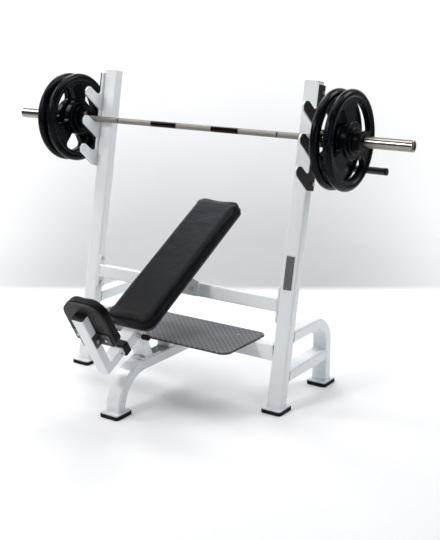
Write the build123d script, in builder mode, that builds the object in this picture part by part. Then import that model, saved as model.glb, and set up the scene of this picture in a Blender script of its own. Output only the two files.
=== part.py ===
from build123d import *
import math
import os

# Incline Olympic bench with bar racks, spotter platform, weight horn and a loaded bar.
# Millimetres, +Z up, +X towards the bar's right-hand end, +Y towards the back of the bench.
# The floor is z = 0 and the middle of the object's footprint is x = y = 0.

# ---------------------------------------------------------------- driving sizes
# rectangular frame tube, used for uprights, legs, braces, spine, post and low cross tube
TUBE_W = 76.2
TUBE_D = 50.8
TUBE_WALL = 3.0
TUBE_R = 8.0

# uprights
UPRIGHT_FRONT_Y = 74.5
UPRIGHT_SPAN = 1216.0
UPRIGHT_HEIGHT = 1459.0
UPRIGHT_LEAN = 11.13
CAP_T = 3.0
PLUG_DEPTH = 18.0
PLUG_GAP = 0.3

# feet
PAD_T = 16.0
PLATE_T = 6.0
PAD_X = 104.0
PAD_Y = 110.0
PLATE_MARGIN = 4.0
PLATE_R = 10.0

# bent rear legs and side braces
REAR_LEG_Y = 450.0
REAR_RUN_Z = 333.0
REAR_BEND_R = 117.0
BRACE_Z = 157.0

# cross tubes
UPPER_CROSS_UP = 487.0
UPPER_CROSS_H = 63.5
FLANGE_H = 165.0
FLANGE_W = 48.0
FLANGE_T = 8.0
FLANGE_R = 4.0
FLANGE_BOLT_SPACING = 126.0
LOWER_CROSS_SETBACK = 52.0

# spine and front leg
SPINE_Z = 197.4
FRONT_LEG_Y = -417.5

# pad rail and the sliding tube inside it
RAIL_SLOPE = 29.3
RAIL_WALL = 3.0
RAIL_SIDE_ROOM = 3.35
RAIL_RISE_ROOM = 4.5
RAIL_R = 7.0
RAIL_RISE = 454.5
RAIL_MOUTH = -157.0
RAIL_END = 700.0
SLIDE_W = 63.5
SLIDE_H = 42.0
RAIL_W = SLIDE_W + 2 * (RAIL_WALL + RAIL_SIDE_ROOM)
RAIL_H = SLIDE_H + 2 * (RAIL_WALL + RAIL_RISE_ROOM)
SLIDE_WALL = 3.0
SLIDE_R = 6.0
SLIDE_GAP = 0.3
SLIDE_INNER_END = 72.0
BUSHING_LEN = 33.0
BUSHING_RIM = 3.0
BUSHING_INSERT = 46.0
FIT_GAP = 0.1

# rail bracket on the upper cross tube
BRACKET_W = 190.0
BRACKET_T = 8.0
BRACKET_BOLT_X = 62.0
BRACKET_SHOULDER = 8.0

# post under the rail
POST_LEAN = 24.0
POST_Y = -212.5
POST_BASE_X = 74.0
POST_BASE_FRONT = -266.0
POST_BASE_BACK = -128.0
POST_BASE_T = 6.0
POST_BASE_R = 6.0
POST_BOLT_X = 20.0
POST_BOLT_INSET = 12.0
SPINE_HOLE_DEPTH = 8.0

# back pad
BACK_W = 254.0
BACK_LEN = 868.0
BACK_LOW_END = -85.0
BACK_BOARD_T = 12.0
BACK_FOAM_T = 50.0
BACK_CORNER_R = 42.0
BACK_EDGE_R = 14.0
BACK_BOLTS = (330.0, 610.0)
BOARD_INSET = 4.0

# seat carriage
ARM_REAR = -278.0
ARM_TOP = 762.0
ARM_CAP_T = 4.0
SEAT_W = 227.0
SEAT_LOW = 583.0
SEAT_HIGH = 820.0
SEAT_BOARD_T = 12.0
SEAT_FOAM_T = 49.0
SEAT_FRONT_R = 82.0
SEAT_BACK_R = 22.0
SEAT_EDGE_R = 14.0
ANGLE_LOW = 598.0
ANGLE_H = 62.0
ANGLE_T = 6.0
ANGLE_REACH = 100.0
ANGLE_BOLT_X = 80.0
ANGLE_INSET = 3.0

# pull pin and the row of holes it drops into
PIN_ALONG = -90.0
PIN_R = 5.0
PIN_RUN_GAP = 0.05
PIN_HOLE_GAP = 0.6
HOLE_R = PIN_R + PIN_HOLE_GAP
HOLE_PITCH = 57.5
HOLES_OUTWARD = 2
HOLES_INWARD = 2
PIN_PARK_GAP = 2.0
PIN_TRAVEL = 12.0
BARREL_WALL = 5.0
BARREL_R = PIN_R + BARREL_WALL
BARREL_LEN = 18.0
KNOB_R = 13.0
KNOB_LEN = 36.0
KNOB_GAP = 1.0
KNOB_EDGE_R = 4.0
PIN_TIP_CHAMFER = 1.0

# hook racks
HOOK_PITCH = 140.0
HOOK_T = 8.0
LINER_T = 8.0
LINER_INSET = 1.0
STRIP_FRONT = 13.0
STRIP_BACK = 37.0
RACK_TOP = 232.0
HOOK_LOW = 91.5
HOOK_BOLT_UP = 200.0
HOOK_BOLT_BACK = 18.0
HOOK_STEP = 6.0
HOOK_LEDGE = 9.0
# corners of one hook's nose: forward of the upright, and up from the bar's middle
NOSE_BACK = (97.0, 12.0)
NOSE_CROWN = (113.0, 10.0)
NOSE_TIP = (126.5, -9.0)
NOSE_CHIN = (121.0, -31.0)

# bar
BAR_FORWARD = 38.9
BAR_DROP = 244.47
BAR_UP = UPRIGHT_HEIGHT / math.cos(math.radians(UPRIGHT_LEAN)) - BAR_DROP
BAR_LEN = 2200.0
SHAFT_R = 14.25
SHAFT_SIDE_GAP = 31.0
SHAFT_LEN = UPRIGHT_SPAN + 2 * (HOOK_T + LINER_T + SHAFT_SIDE_GAP)
JOURNAL_R = 12.5
SLEEVE_R = 25.0
SLEEVE_FLANGE_LIP = 14.0
SLEEVE_FLANGE_R = SLEEVE_R + SLEEVE_FLANGE_LIP
SLEEVE_FLANGE_T = 30.0
SLEEVE_END_T = 10.0
SLEEVE_END_GAP = 4.0
SLEEVE_CUP_R = 18.0
SLEEVE_CUP_T = 4.0
SLEEVE_CHAMFER = 2.0
SHOULDER_GAP = 0.4
JOURNAL_GAP = 0.05
HOOK_REST_GAP = 0.3

# discs
DISC_R = 217.5
DISC_T = 62.0
DISC_RIM_T = 39.0
DISC_RIM_IN_R = 178.0
DISC_WEB_T = 26.0
DISC_HUB_R = 61.0
DISC_BORE_GAP = 0.4
DISC_STEP_R = 83.0
DISC_STEP_T = 44.0
DISC_EDGE_R = 6.0
DISC_RIM_FLAT = 1.0
DISC_WEB_LAP = 5.0
GRIP_COUNT = 3
GRIP_IN_R = 87.0
GRIP_OUT_R = 172.0
GRIP_HALF_ANGLE = 39.0
GRIP_CORNER_R = 20.0
LEFT_GAP = 5.0
RIGHT_GAP = 29.0
LEFT_GRIP_TURNS = (27.0, 18.0)
RIGHT_GRIP_TURNS = (40.0, 40.0)

# clamp collars
CLAMP_RING_T = 18.0
CLAMP_R = SLEEVE_R + CLAMP_RING_T
CLAMP_W = 32.0
CLAMP_GAP = 0.5
CLAMP_BORE_GAP = 0.08
CLAMP_SPLIT = 5.0
CLAMP_SPLIT_TURN = 135.0
LEVER_TURN = 38.0
LEVER_SWEEP = 118.0
LEVER_SLEEVE_GAP = 4.0
LEVER_W = 18.0
LEVER_IN_R = SLEEVE_R + LEVER_SLEEVE_GAP
LEVER_OUT_R = LEVER_IN_R + LEVER_W
LEVER_T = 8.0
LEVER_GAP = 0.4
LEVER_PIN_R = 3.5
LEVER_PIN_IN = 4.0
LEVER_PIN_SHORT = 1.0
LEVER_TAB = 24.0
LEVER_TAB_W = 12.6
LEVER_TAB_R = 5.0
LEVER_TAB_LAP = 4.0

# weight horn
HORN_R = 16.5
HORN_BACK = 400.0
HORN_Z = 1074.0
HORN_REACH = 288.0
HORN_END_X = UPRIGHT_SPAN / 2 + HORN_REACH
HORN_CAP_T = 8.0
HORN_BRACKET_H = 90.0
HORN_BRACKET_T = 10.0
HORN_NOSE_R = 30.0
HORN_CAP_R = 3.0

# spotter platform
PLATFORM_SIDE_GAP = 94.8
PLATFORM_X = UPRIGHT_SPAN - 2 * (TUBE_W + PLATFORM_SIDE_GAP)
PLATFORM_FRONT = -181.0
PLATFORM_BACK = 166.0
PLATFORM_T = 4.0
MAT_T = 5.0
MAT_INSET = 3.0
PLATFORM_R = 40.0
PLATFORM_BOLT_INSET = 107.0
PLATFORM_BOLT_X = PLATFORM_X / 2 - PLATFORM_BOLT_INSET
MAT_BOLT_GAP = 1.0
MAT_BOLT_DROP = 1.0
RISER_FRONT = -62.0
RISER_W = 50.8

# maker's plate
BADGE_W = 50.0
BADGE_H = 160.0
BADGE_T = 0.8
BADGE_UP = 558.0
BADGE_R = 4.0

# fasteners
M12_R = 6.0
M12_HEAD_R = 10.5
M12_HEAD_T = 7.5
M10_R = 5.0
M10_HEAD_R = 9.2
M10_HEAD_T = 6.4
M8_R = 4.0
M8_HEAD_R = 7.4
M8_HEAD_T = 5.3
HOLE_EASE = 0.4
THREAD_OUT = 6.0
BOLT_SHORT = 2.0
# how far a hole's cut runs past the wall it goes through
CUT_PAST = 1.0

# ---------------------------------------------------------------- derived places
lean = math.radians(UPRIGHT_LEAN)
slope = math.radians(RAIL_SLOPE)
post_lean = math.radians(POST_LEAN)
foot_top = PAD_T + PLATE_T
upright_x = UPRIGHT_SPAN / 2 - TUBE_W / 2
inner_face_x = UPRIGHT_SPAN / 2 - TUBE_W
outer_face_x = UPRIGHT_SPAN / 2
spine_top = SPINE_Z + TUBE_D / 2
lower_cross_top = spine_top + TUBE_W
platform_low = lower_cross_top
rail_top = RAIL_RISE + RAIL_H / 2
rail_bottom = RAIL_RISE - RAIL_H / 2
arm_front = ARM_REAR - SLIDE_H
slide_low = RAIL_RISE - SLIDE_H / 2
slide_high = RAIL_RISE + SLIDE_H / 2
upper_cross_low = UPPER_CROSS_UP - UPPER_CROSS_H / 2
upper_cross_high = UPPER_CROSS_UP + UPPER_CROSS_H / 2
bar_y = UPRIGHT_FRONT_Y + BAR_UP * math.sin(lean) - BAR_FORWARD * math.cos(lean)
bar_z = BAR_UP * math.cos(lean) + BAR_FORWARD * math.sin(lean)
bar_axis = Axis((0, bar_y, bar_z), (1, 0, 0))
sleeve_start = SHAFT_LEN / 2
sleeve_face = sleeve_start + SLEEVE_FLANGE_T
bore_r = SLEEVE_R + DISC_BORE_GAP
post_bolt_places = [
    (x, y)
    for x in (-POST_BOLT_X, POST_BOLT_X)
    for y in (POST_BASE_FRONT + POST_BOLT_INSET, POST_BASE_BACK - POST_BOLT_INSET)
]
platform_bolt_places = [
    (-PLATFORM_BOLT_X, LOWER_CROSS_SETBACK + TUBE_D / 2),
    (PLATFORM_BOLT_X, LOWER_CROSS_SETBACK + TUBE_D / 2),
]
clamp_bore_r = SLEEVE_R + CLAMP_BORE_GAP
RIGHT = 1
LEFT = -1


def save(part, name):
    """Write one finished piece as its own STEP file."""
    part.label = name
    export_step(part, "parts/" + name + ".step")


def lean_plane(x, up):
    """Across an upright: local x is +X, local y points back through the tube."""
    origin = (x, UPRIGHT_FRONT_Y + up * math.sin(lean), up * math.cos(lean))
    return Plane(origin=origin, x_dir=(1, 0, 0), z_dir=(0, math.sin(lean), math.cos(lean)))


def lean_front_plane(x):
    """On the uprights' front faces: local x is +X, local y runs up the upright."""
    normal = (0, -math.cos(lean), math.sin(lean))
    return Plane(origin=(x, UPRIGHT_FRONT_Y, 0), x_dir=(1, 0, 0), z_dir=normal)


def lean_side_plane(x):
    """Beside an upright: local x is forward of its front face, local y runs up it."""
    forward = (0, -math.cos(lean), math.sin(lean))
    return Plane(origin=(x, UPRIGHT_FRONT_Y, 0), x_dir=forward, z_dir=(-1, 0, 0))


def rail_cross_plane(along):
    """Across the pad rail: local x is +X, local y points down out of the rail."""
    origin = (0, UPRIGHT_FRONT_Y + along * math.cos(slope), along * math.sin(slope))
    return Plane(origin=origin, x_dir=(1, 0, 0), z_dir=(0, math.cos(slope), math.sin(slope)))


def rail_side_plane(x):
    """Beside the pad rail: local x runs up along it, local y stands off it."""
    run = (0, math.cos(slope), math.sin(slope))
    return Plane(origin=(x, UPRIGHT_FRONT_Y, 0), x_dir=run, z_dir=(1, 0, 0))


def rail_flat_plane(rise):
    """Parallel to the back pad: local x is +X, local y runs up along the rail."""
    origin = (0, UPRIGHT_FRONT_Y - rise * math.sin(slope), rise * math.cos(slope))
    return Plane(origin=origin, x_dir=(1, 0, 0), z_dir=(0, -math.sin(slope), math.cos(slope)))


def radial_plane():
    """Half section through the bar: local x is +X, local y is the distance from its axis."""
    return Plane(origin=(0, bar_y, bar_z), x_dir=(1, 0, 0), z_dir=(0, -1, 0))


def across_bar(x):
    """Across the bar: local x is +Y, local y is +Z."""
    return Plane(origin=(x, bar_y, bar_z), x_dir=(0, 1, 0), z_dir=(1, 0, 0))


def floor_plane(z):
    """Level plane whose local y is measured from the uprights' front faces at the floor."""
    return Plane(origin=(0, UPRIGHT_FRONT_Y, z), x_dir=(1, 0, 0), z_dir=(0, 0, 1))


def box_section(width, depth, wall, radius):
    """Rounded rectangular tube section in the current sketch."""
    RectangleRounded(width, depth, radius)
    RectangleRounded(width - 2 * wall, depth - 2 * wall, radius - wall, mode=Mode.SUBTRACT)


def bolt(plane, head_r, head_t, shank_r, shank_len):
    """Hexagon bolt in the current part: head outside the plane, shank behind it."""
    with BuildSketch(plane) as head:
        RegularPolygon(head_r, 6)
    extrude(head.sketch, amount=head_t)
    with BuildSketch(plane) as shank:
        Circle(shank_r)
    extrude(shank.sketch, amount=-shank_len)


def cut_round(plane, radius, depth):
    """Round hole in the current part, from the plane backwards."""
    with BuildSketch(plane) as hole:
        Circle(radius)
    extrude(hole.sketch, amount=-depth, mode=Mode.SUBTRACT)


def shifted(plane, u, v):
    """The same plane with its origin moved by local u and v."""
    return plane.shift_origin(plane.from_local_coords((u, v, 0)))


# ---------------------------------------------------------------- uprights
upright_cut = Plane(origin=(0, UPRIGHT_FRONT_Y, foot_top), z_dir=(0, 0, 1))
flange_bolt_ups = (
    UPPER_CROSS_UP - FLANGE_BOLT_SPACING / 2,
    UPPER_CROSS_UP + FLANGE_BOLT_SPACING / 2,
)
hook_bolt_ups = (BAR_UP - HOOK_BOLT_UP, BAR_UP + HOOK_BOLT_UP)


def make_upright(side):
    """One leaning upright, cut level at the foot, with its bolt holes."""
    length = UPRIGHT_HEIGHT / math.cos(lean)
    with BuildPart() as upright:
        with BuildSketch(shifted(lean_plane(side * upright_x, -TUBE_D), 0, TUBE_D / 2)):
            box_section(TUBE_W, TUBE_D, TUBE_WALL, TUBE_R)
        extrude(amount=length + TUBE_D)
        split(bisect_by=upright_cut, keep=Keep.TOP)
        for up in flange_bolt_ups:
            plane = lean_side_plane(side * inner_face_x)
            with BuildSketch(shifted(plane, -TUBE_D / 2, up)):
                Circle(M12_R + HOLE_EASE)
            extrude(amount=TUBE_WALL + CUT_PAST, both=True, mode=Mode.SUBTRACT)
        for up in hook_bolt_ups:
            plane = lean_side_plane(side * outer_face_x)
            with BuildSketch(shifted(plane, -HOOK_BOLT_BACK, up)):
                Circle(M10_R + HOLE_EASE)
            extrude(amount=TUBE_WALL + CUT_PAST, both=True, mode=Mode.SUBTRACT)
    return upright.part


def make_caps():
    """Plastic caps plugged into the tops of both uprights."""
    length = UPRIGHT_HEIGHT / math.cos(lean)
    with BuildPart() as caps:
        for side in (LEFT, RIGHT):
            plane = shifted(lean_plane(side * upright_x, length), 0, TUBE_D / 2)
            with BuildSketch(plane):
                RectangleRounded(TUBE_W, TUBE_D, TUBE_R)
            extrude(amount=CAP_T)
            with BuildSketch(plane):
                inner = 2 * (TUBE_WALL + PLUG_GAP)
                RectangleRounded(TUBE_W - inner, TUBE_D - inner, TUBE_R - TUBE_WALL)
            extrude(amount=-PLUG_DEPTH)
    return caps.part


# ---------------------------------------------------------------- feet
upright_foot_y = foot_top * math.tan(lean) + TUBE_D / 2 / math.cos(lean)
foot_places = (
    (0, FRONT_LEG_Y),
    (-upright_x, upright_foot_y),
    (upright_x, upright_foot_y),
    (-upright_x, REAR_LEG_Y),
    (upright_x, REAR_LEG_Y),
)

with BuildPart() as foot_pads:
    with BuildSketch(floor_plane(0)):
        with Locations(*foot_places):
            RectangleRounded(PAD_X, PAD_Y, PLATE_R + PLATE_MARGIN)
    extrude(amount=PAD_T)

with BuildPart() as foot_plates:
    with BuildSketch(floor_plane(PAD_T)):
        with Locations(*foot_places):
            RectangleRounded(PAD_X - 2 * PLATE_MARGIN, PAD_Y - 2 * PLATE_MARGIN, PLATE_R)
    extrude(amount=PLATE_T)


# ---------------------------------------------------------------- rear legs and side braces
upright_back = Plane(
    origin=(0, UPRIGHT_FRONT_Y + TUBE_D / math.cos(lean), 0),
    z_dir=(0, math.cos(lean), -math.sin(lean)),
)


def make_rear_leg(side):
    """Rear leg bent from one tube: level run from the upright, then down to the floor."""
    x = side * upright_x
    y_leg = UPRIGHT_FRONT_Y + REAR_LEG_Y
    y_turn = y_leg - REAR_BEND_R
    z_turn = REAR_RUN_Z - REAR_BEND_R
    with BuildPart() as leg:
        with BuildLine() as path:
            run = Line((x, UPRIGHT_FRONT_Y, REAR_RUN_Z), (x, y_turn, REAR_RUN_Z))
            bend = TangentArc((x, y_turn, REAR_RUN_Z), (x, y_leg, z_turn), tangent=(0, 1, 0))
            Line(bend @ 1, (x, y_leg, foot_top))
        start = Plane(origin=run @ 0, x_dir=(1, 0, 0), z_dir=(0, 1, 0))
        with BuildSketch(start):
            box_section(TUBE_W, TUBE_D, TUBE_WALL, TUBE_R)
        sweep(path=path.wire())
        split(bisect_by=upright_back, keep=Keep.TOP)
    return leg.part


def make_side_brace(side):
    """Low tube between an upright and its rear leg."""
    x = side * upright_x
    y_end = UPRIGHT_FRONT_Y + REAR_LEG_Y - TUBE_D / 2
    with BuildPart() as brace:
        start = Plane(origin=(x, UPRIGHT_FRONT_Y, BRACE_Z), x_dir=(1, 0, 0), z_dir=(0, 1, 0))
        with BuildSketch(start):
            box_section(TUBE_W, TUBE_D, TUBE_WALL, TUBE_R)
        extrude(amount=y_end - UPRIGHT_FRONT_Y)
        split(bisect_by=upright_back, keep=Keep.TOP)
    return brace.part


# ---------------------------------------------------------------- upper cross tube
cross_half = inner_face_x - FLANGE_T

with BuildPart() as upper_cross:
    middle = shifted(lean_side_plane(cross_half), -TUBE_D / 2, UPPER_CROSS_UP)
    with BuildSketch(middle):
        box_section(TUBE_D, UPPER_CROSS_H, TUBE_WALL, TUBE_R)
    extrude(amount=2 * cross_half)
    for x in (-BRACKET_BOLT_X, BRACKET_BOLT_X):
        hole = shifted(lean_front_plane(x), 0, UPPER_CROSS_UP)
        with BuildSketch(hole):
            Circle(M12_R + HOLE_EASE)
        extrude(amount=TUBE_WALL + CUT_PAST, both=True, mode=Mode.SUBTRACT)


def make_flange(side):
    """Flange plate welded to one end of the upper cross tube."""
    face = side * inner_face_x
    with BuildPart() as flange:
        with BuildSketch(shifted(lean_side_plane(face), -TUBE_D / 2, UPPER_CROSS_UP)):
            RectangleRounded(FLANGE_W, FLANGE_H, FLANGE_R)
            with Locations((0, -FLANGE_BOLT_SPACING / 2), (0, FLANGE_BOLT_SPACING / 2)):
                Circle(M12_R + HOLE_EASE, mode=Mode.SUBTRACT)
        extrude(amount=side * FLANGE_T)
    return flange.part


with BuildPart() as flange_bolts:
    for side in (LEFT, RIGHT):
        for up in flange_bolt_ups:
            forward = (0, -math.cos(lean), math.sin(lean))
            face = side * (inner_face_x - FLANGE_T)
            spot = shifted(lean_side_plane(face), -TUBE_D / 2, up).origin
            plane = Plane(origin=spot, x_dir=forward, z_dir=(-side, 0, 0))
            bolt(plane, M12_HEAD_R, M12_HEAD_T, M12_R, FLANGE_T + TUBE_WALL + THREAD_OUT)


# ---------------------------------------------------------------- lower cross tube and spine
with BuildPart() as lower_cross:
    z_mid = spine_top + TUBE_W / 2
    y_mid = UPRIGHT_FRONT_Y + LOWER_CROSS_SETBACK + TUBE_D / 2
    start = Plane(origin=(-inner_face_x, y_mid, z_mid), x_dir=(0, 1, 0), z_dir=(1, 0, 0))
    with BuildSketch(start):
        box_section(TUBE_D, TUBE_W, TUBE_WALL, TUBE_R)
    extrude(amount=2 * inner_face_x)
    with BuildSketch(floor_plane(lower_cross_top)):
        with Locations(*platform_bolt_places):
            Circle(M8_R + HOLE_EASE)
    extrude(amount=-TUBE_WALL - CUT_PAST, mode=Mode.SUBTRACT)

with BuildPart() as spine:
    y_leg = UPRIGHT_FRONT_Y + FRONT_LEG_Y
    bend_r = SPINE_Z - foot_top
    y_end = UPRIGHT_FRONT_Y + LOWER_CROSS_SETBACK + TUBE_D
    with BuildLine() as spine_path:
        rise = TangentArc((0, y_leg, foot_top), (0, y_leg + bend_r, SPINE_Z), tangent=(0, 0, 1))
        Line(rise @ 1, (0, y_end, SPINE_Z))
    foot = Plane(origin=(0, y_leg, foot_top), x_dir=(1, 0, 0), z_dir=(0, 0, 1))
    with BuildSketch(foot):
        box_section(TUBE_W, TUBE_D, TUBE_WALL, TUBE_R)
    sweep(path=spine_path.wire())
    with BuildSketch(floor_plane(spine_top)):
        with Locations(*post_bolt_places):
            Circle(M8_R + HOLE_EASE)
    extrude(amount=-SPINE_HOLE_DEPTH, mode=Mode.SUBTRACT)


# ---------------------------------------------------------------- pad post
post_base_top = spine_top + POST_BASE_T
rail_under = rail_flat_plane(rail_bottom)

with BuildPart() as post_base:
    with BuildSketch(floor_plane(spine_top)):
        with Locations((0, (POST_BASE_FRONT + POST_BASE_BACK) / 2)):
            RectangleRounded(POST_BASE_X, POST_BASE_BACK - POST_BASE_FRONT, POST_BASE_R)
        with Locations(*post_bolt_places):
            Circle(M8_R + HOLE_EASE, mode=Mode.SUBTRACT)
    extrude(amount=POST_BASE_T)

with BuildPart() as post_bolts:
    for x, y in post_bolt_places:
        plane = shifted(floor_plane(post_base_top), x, y)
        bolt(plane, M8_HEAD_R, M8_HEAD_T, M8_R, POST_BASE_T + TUBE_WALL + THREAD_OUT)

with BuildPart() as pad_post:
    origin = (0, UPRIGHT_FRONT_Y + POST_Y, post_base_top)
    axis_dir = (0, -math.sin(post_lean), math.cos(post_lean))
    back_off = Plane(origin=origin, x_dir=(1, 0, 0), z_dir=axis_dir)
    with BuildSketch(back_off.offset(-TUBE_D)):
        box_section(TUBE_W, TUBE_D, TUBE_WALL, TUBE_R)
    extrude(amount=TUBE_D + rail_bottom)
    split(bisect_by=Plane(origin=origin, z_dir=(0, 0, 1)), keep=Keep.TOP)
    split(bisect_by=rail_under, keep=Keep.BOTTOM)


# ---------------------------------------------------------------- pad rail
with BuildPart() as pad_rail:
    with BuildSketch(shifted(rail_cross_plane(RAIL_MOUTH), 0, -RAIL_RISE)):
        box_section(RAIL_W, RAIL_H, RAIL_WALL, RAIL_R)
    extrude(amount=RAIL_END - RAIL_MOUTH)
    with BuildSketch(shifted(rail_side_plane(RAIL_W / 2), PIN_ALONG, RAIL_RISE)):
        Circle(PIN_R + PIN_RUN_GAP)
    extrude(amount=RAIL_WALL + CUT_PAST, both=True, mode=Mode.SUBTRACT)
    for along in BACK_BOLTS:
        with BuildSketch(shifted(rail_flat_plane(RAIL_RISE), 0, along)):
            Circle(M10_R + HOLE_EASE)
        extrude(amount=RAIL_H, both=True, mode=Mode.SUBTRACT)

with BuildPart() as rail_cap:
    with BuildSketch(shifted(rail_cross_plane(RAIL_END), 0, -RAIL_RISE)):
        RectangleRounded(RAIL_W, RAIL_H, RAIL_R)
    extrude(amount=CAP_T)
    with BuildSketch(shifted(rail_cross_plane(RAIL_END), 0, -RAIL_RISE)):
        inner = 2 * (RAIL_WALL + PLUG_GAP)
        RectangleRounded(RAIL_W - inner, RAIL_H - inner, RAIL_R - RAIL_WALL)
    extrude(amount=-PLUG_DEPTH)

with BuildPart() as rail_bushing:
    # block in front of the rail's mouth, then a liner inside the rail
    with BuildSketch(shifted(rail_cross_plane(RAIL_MOUTH), 0, -RAIL_RISE)):
        RectangleRounded(RAIL_W + 2 * BUSHING_RIM, RAIL_H + 2 * BUSHING_RIM, RAIL_R + BUSHING_RIM)
    extrude(amount=-BUSHING_LEN)
    with BuildSketch(shifted(rail_cross_plane(RAIL_MOUTH), 0, -RAIL_RISE)):
        inner = 2 * (RAIL_WALL + FIT_GAP)
        RectangleRounded(RAIL_W - inner, RAIL_H - inner, RAIL_R - RAIL_WALL)
    extrude(amount=BUSHING_INSERT)
    with BuildSketch(shifted(rail_cross_plane(RAIL_MOUTH - BUSHING_LEN), 0, -RAIL_RISE)):
        RectangleRounded(SLIDE_W + 2 * SLIDE_GAP, SLIDE_H + 2 * SLIDE_GAP, SLIDE_R)
    extrude(amount=BUSHING_LEN + BUSHING_INSERT, mode=Mode.SUBTRACT)

with BuildPart() as rail_bracket:
    # shaped plate on the front of the upper cross tube, welded up to the rail's underside
    reach = RAIL_W / 2
    with BuildSketch(lean_front_plane(0)):
        with BuildLine():
            Polyline(
                (-BRACKET_W / 2, upper_cross_low),
                (BRACKET_W / 2, upper_cross_low),
                (BRACKET_W / 2, upper_cross_high + BRACKET_SHOULDER),
                (reach, upper_cross_high + BRACKET_SHOULDER + 2 * BRACKET_T),
                (reach, upper_cross_high + 2 * TUBE_W),
                (-reach, upper_cross_high + 2 * TUBE_W),
                (-reach, upper_cross_high + BRACKET_SHOULDER + 2 * BRACKET_T),
                (-BRACKET_W / 2, upper_cross_high + BRACKET_SHOULDER),
                close=True,
            )
        make_face()
        with Locations((-BRACKET_BOLT_X, UPPER_CROSS_UP), (BRACKET_BOLT_X, UPPER_CROSS_UP)):
            Circle(M12_R + HOLE_EASE, mode=Mode.SUBTRACT)
    extrude(amount=BRACKET_T)
    split(bisect_by=rail_under, keep=Keep.BOTTOM)

with BuildPart() as bracket_bolts:
    for x in (-BRACKET_BOLT_X, BRACKET_BOLT_X):
        plane = shifted(lean_front_plane(x).offset(BRACKET_T), 0, UPPER_CROSS_UP)
        bolt(plane, M12_HEAD_R, M12_HEAD_T, M12_R, BRACKET_T + TUBE_WALL + THREAD_OUT)


# ---------------------------------------------------------------- back pad
back_middle = BACK_LOW_END + BACK_LEN / 2

with BuildPart() as back_board:
    with BuildSketch(shifted(rail_flat_plane(rail_top), 0, back_middle)):
        RectangleRounded(BACK_W - 2 * BOARD_INSET, BACK_LEN - 2 * BOARD_INSET, BACK_CORNER_R)
        with Locations(*[(0, along - back_middle) for along in BACK_BOLTS]):
            Circle(M10_R + HOLE_EASE, mode=Mode.SUBTRACT)
    extrude(amount=BACK_BOARD_T)

with BuildPart() as back_pad:
    with BuildSketch(shifted(rail_flat_plane(rail_top + BACK_BOARD_T), 0, back_middle)):
        RectangleRounded(BACK_W, BACK_LEN, BACK_CORNER_R)
    extrude(amount=BACK_FOAM_T)
    fillet(back_pad.faces().sort_by(Axis((0, 0, 0), (0, -math.sin(slope), math.cos(slope))))[-1]
           .edges(), BACK_EDGE_R)

with BuildPart() as back_pad_bolts:
    for along in BACK_BOLTS:
        under = rail_flat_plane(rail_bottom)
        spot = shifted(under, 0, along).origin
        plane = Plane(origin=spot, x_dir=(1, 0, 0), z_dir=-under.z_dir)
        bolt(plane, M10_HEAD_R, M10_HEAD_T, M10_R, RAIL_H + BACK_BOARD_T - BOLT_SHORT)


# ---------------------------------------------------------------- seat carriage
mitre = Plane(
    origin=rail_side_plane(0).from_local_coords((ARM_REAR, slide_high, 0)),
    x_dir=(1, 0, 0),
    z_dir=(0, math.cos(slope + math.pi / 4 + math.pi / 2), math.sin(slope + math.pi * 3 / 4)),
)
angle_middle = ANGLE_LOW + ANGLE_H / 2
arm_middle = (arm_front + ARM_REAR) / 2

with BuildPart() as seat_slide:
    with BuildSketch(shifted(rail_cross_plane(arm_front - SLIDE_H), 0, -RAIL_RISE)):
        box_section(SLIDE_W, SLIDE_H, SLIDE_WALL, SLIDE_R)
    extrude(amount=SLIDE_INNER_END - arm_front + SLIDE_H)
    split(bisect_by=mitre, keep=Keep.BOTTOM)
    for step in range(-HOLES_OUTWARD, HOLES_INWARD + 1):
        spot = shifted(rail_side_plane(SLIDE_W / 2), PIN_ALONG + step * HOLE_PITCH, RAIL_RISE)
        with BuildSketch(spot):
            Circle(HOLE_R)
        extrude(amount=SLIDE_WALL + CUT_PAST, both=True, mode=Mode.SUBTRACT)

with BuildPart() as seat_arm:
    with BuildSketch(shifted(rail_flat_plane(slide_low - SLIDE_H), 0, arm_middle)):
        box_section(SLIDE_W, SLIDE_H, SLIDE_WALL, SLIDE_R)
    extrude(amount=ARM_TOP - slide_low + SLIDE_H)
    split(bisect_by=mitre, keep=Keep.TOP)
    with BuildSketch(shifted(rail_side_plane(0), arm_middle, angle_middle)):
        Circle(M10_R + HOLE_EASE)
    extrude(amount=SLIDE_W, both=True, mode=Mode.SUBTRACT)

with BuildPart() as arm_cap:
    with BuildSketch(shifted(rail_flat_plane(ARM_TOP), 0, arm_middle)):
        RectangleRounded(SLIDE_W, SLIDE_H, SLIDE_R)
    extrude(amount=ARM_CAP_T)
    with BuildSketch(shifted(rail_flat_plane(ARM_TOP), 0, arm_middle)):
        inner = 2 * (SLIDE_WALL + PLUG_GAP)
        RectangleRounded(SLIDE_W - inner, SLIDE_H - inner, SLIDE_R - SLIDE_WALL)
    extrude(amount=-PLUG_DEPTH)

with BuildPart() as seat_angles:
    # one leg on the arm's side, the other against the seat board
    for side in (LEFT, RIGHT):
        near = side * SLIDE_W / 2
        far = side * ANGLE_REACH
        with BuildSketch(rail_flat_plane(ANGLE_LOW)):
            with BuildLine():
                Polyline(
                    (near, arm_front + ANGLE_INSET),
                    (near + side * ANGLE_T, arm_front + ANGLE_INSET),
                    (near + side * ANGLE_T, ARM_REAR - ANGLE_T),
                    (far, ARM_REAR - ANGLE_T),
                    (far, ARM_REAR),
                    (near, ARM_REAR),
                    close=True,
                )
            make_face()
        extrude(amount=ANGLE_H)
        with BuildSketch(shifted(rail_side_plane(0), arm_middle, angle_middle)):
            Circle(M10_R + HOLE_EASE)
        extrude(amount=2 * SLIDE_W, both=True, mode=Mode.SUBTRACT)
        cut_round(
            shifted(rail_cross_plane(ARM_REAR), side * ANGLE_BOLT_X, -angle_middle),
            M8_R + HOLE_EASE,
            ANGLE_T + CUT_PAST,
        )

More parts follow.
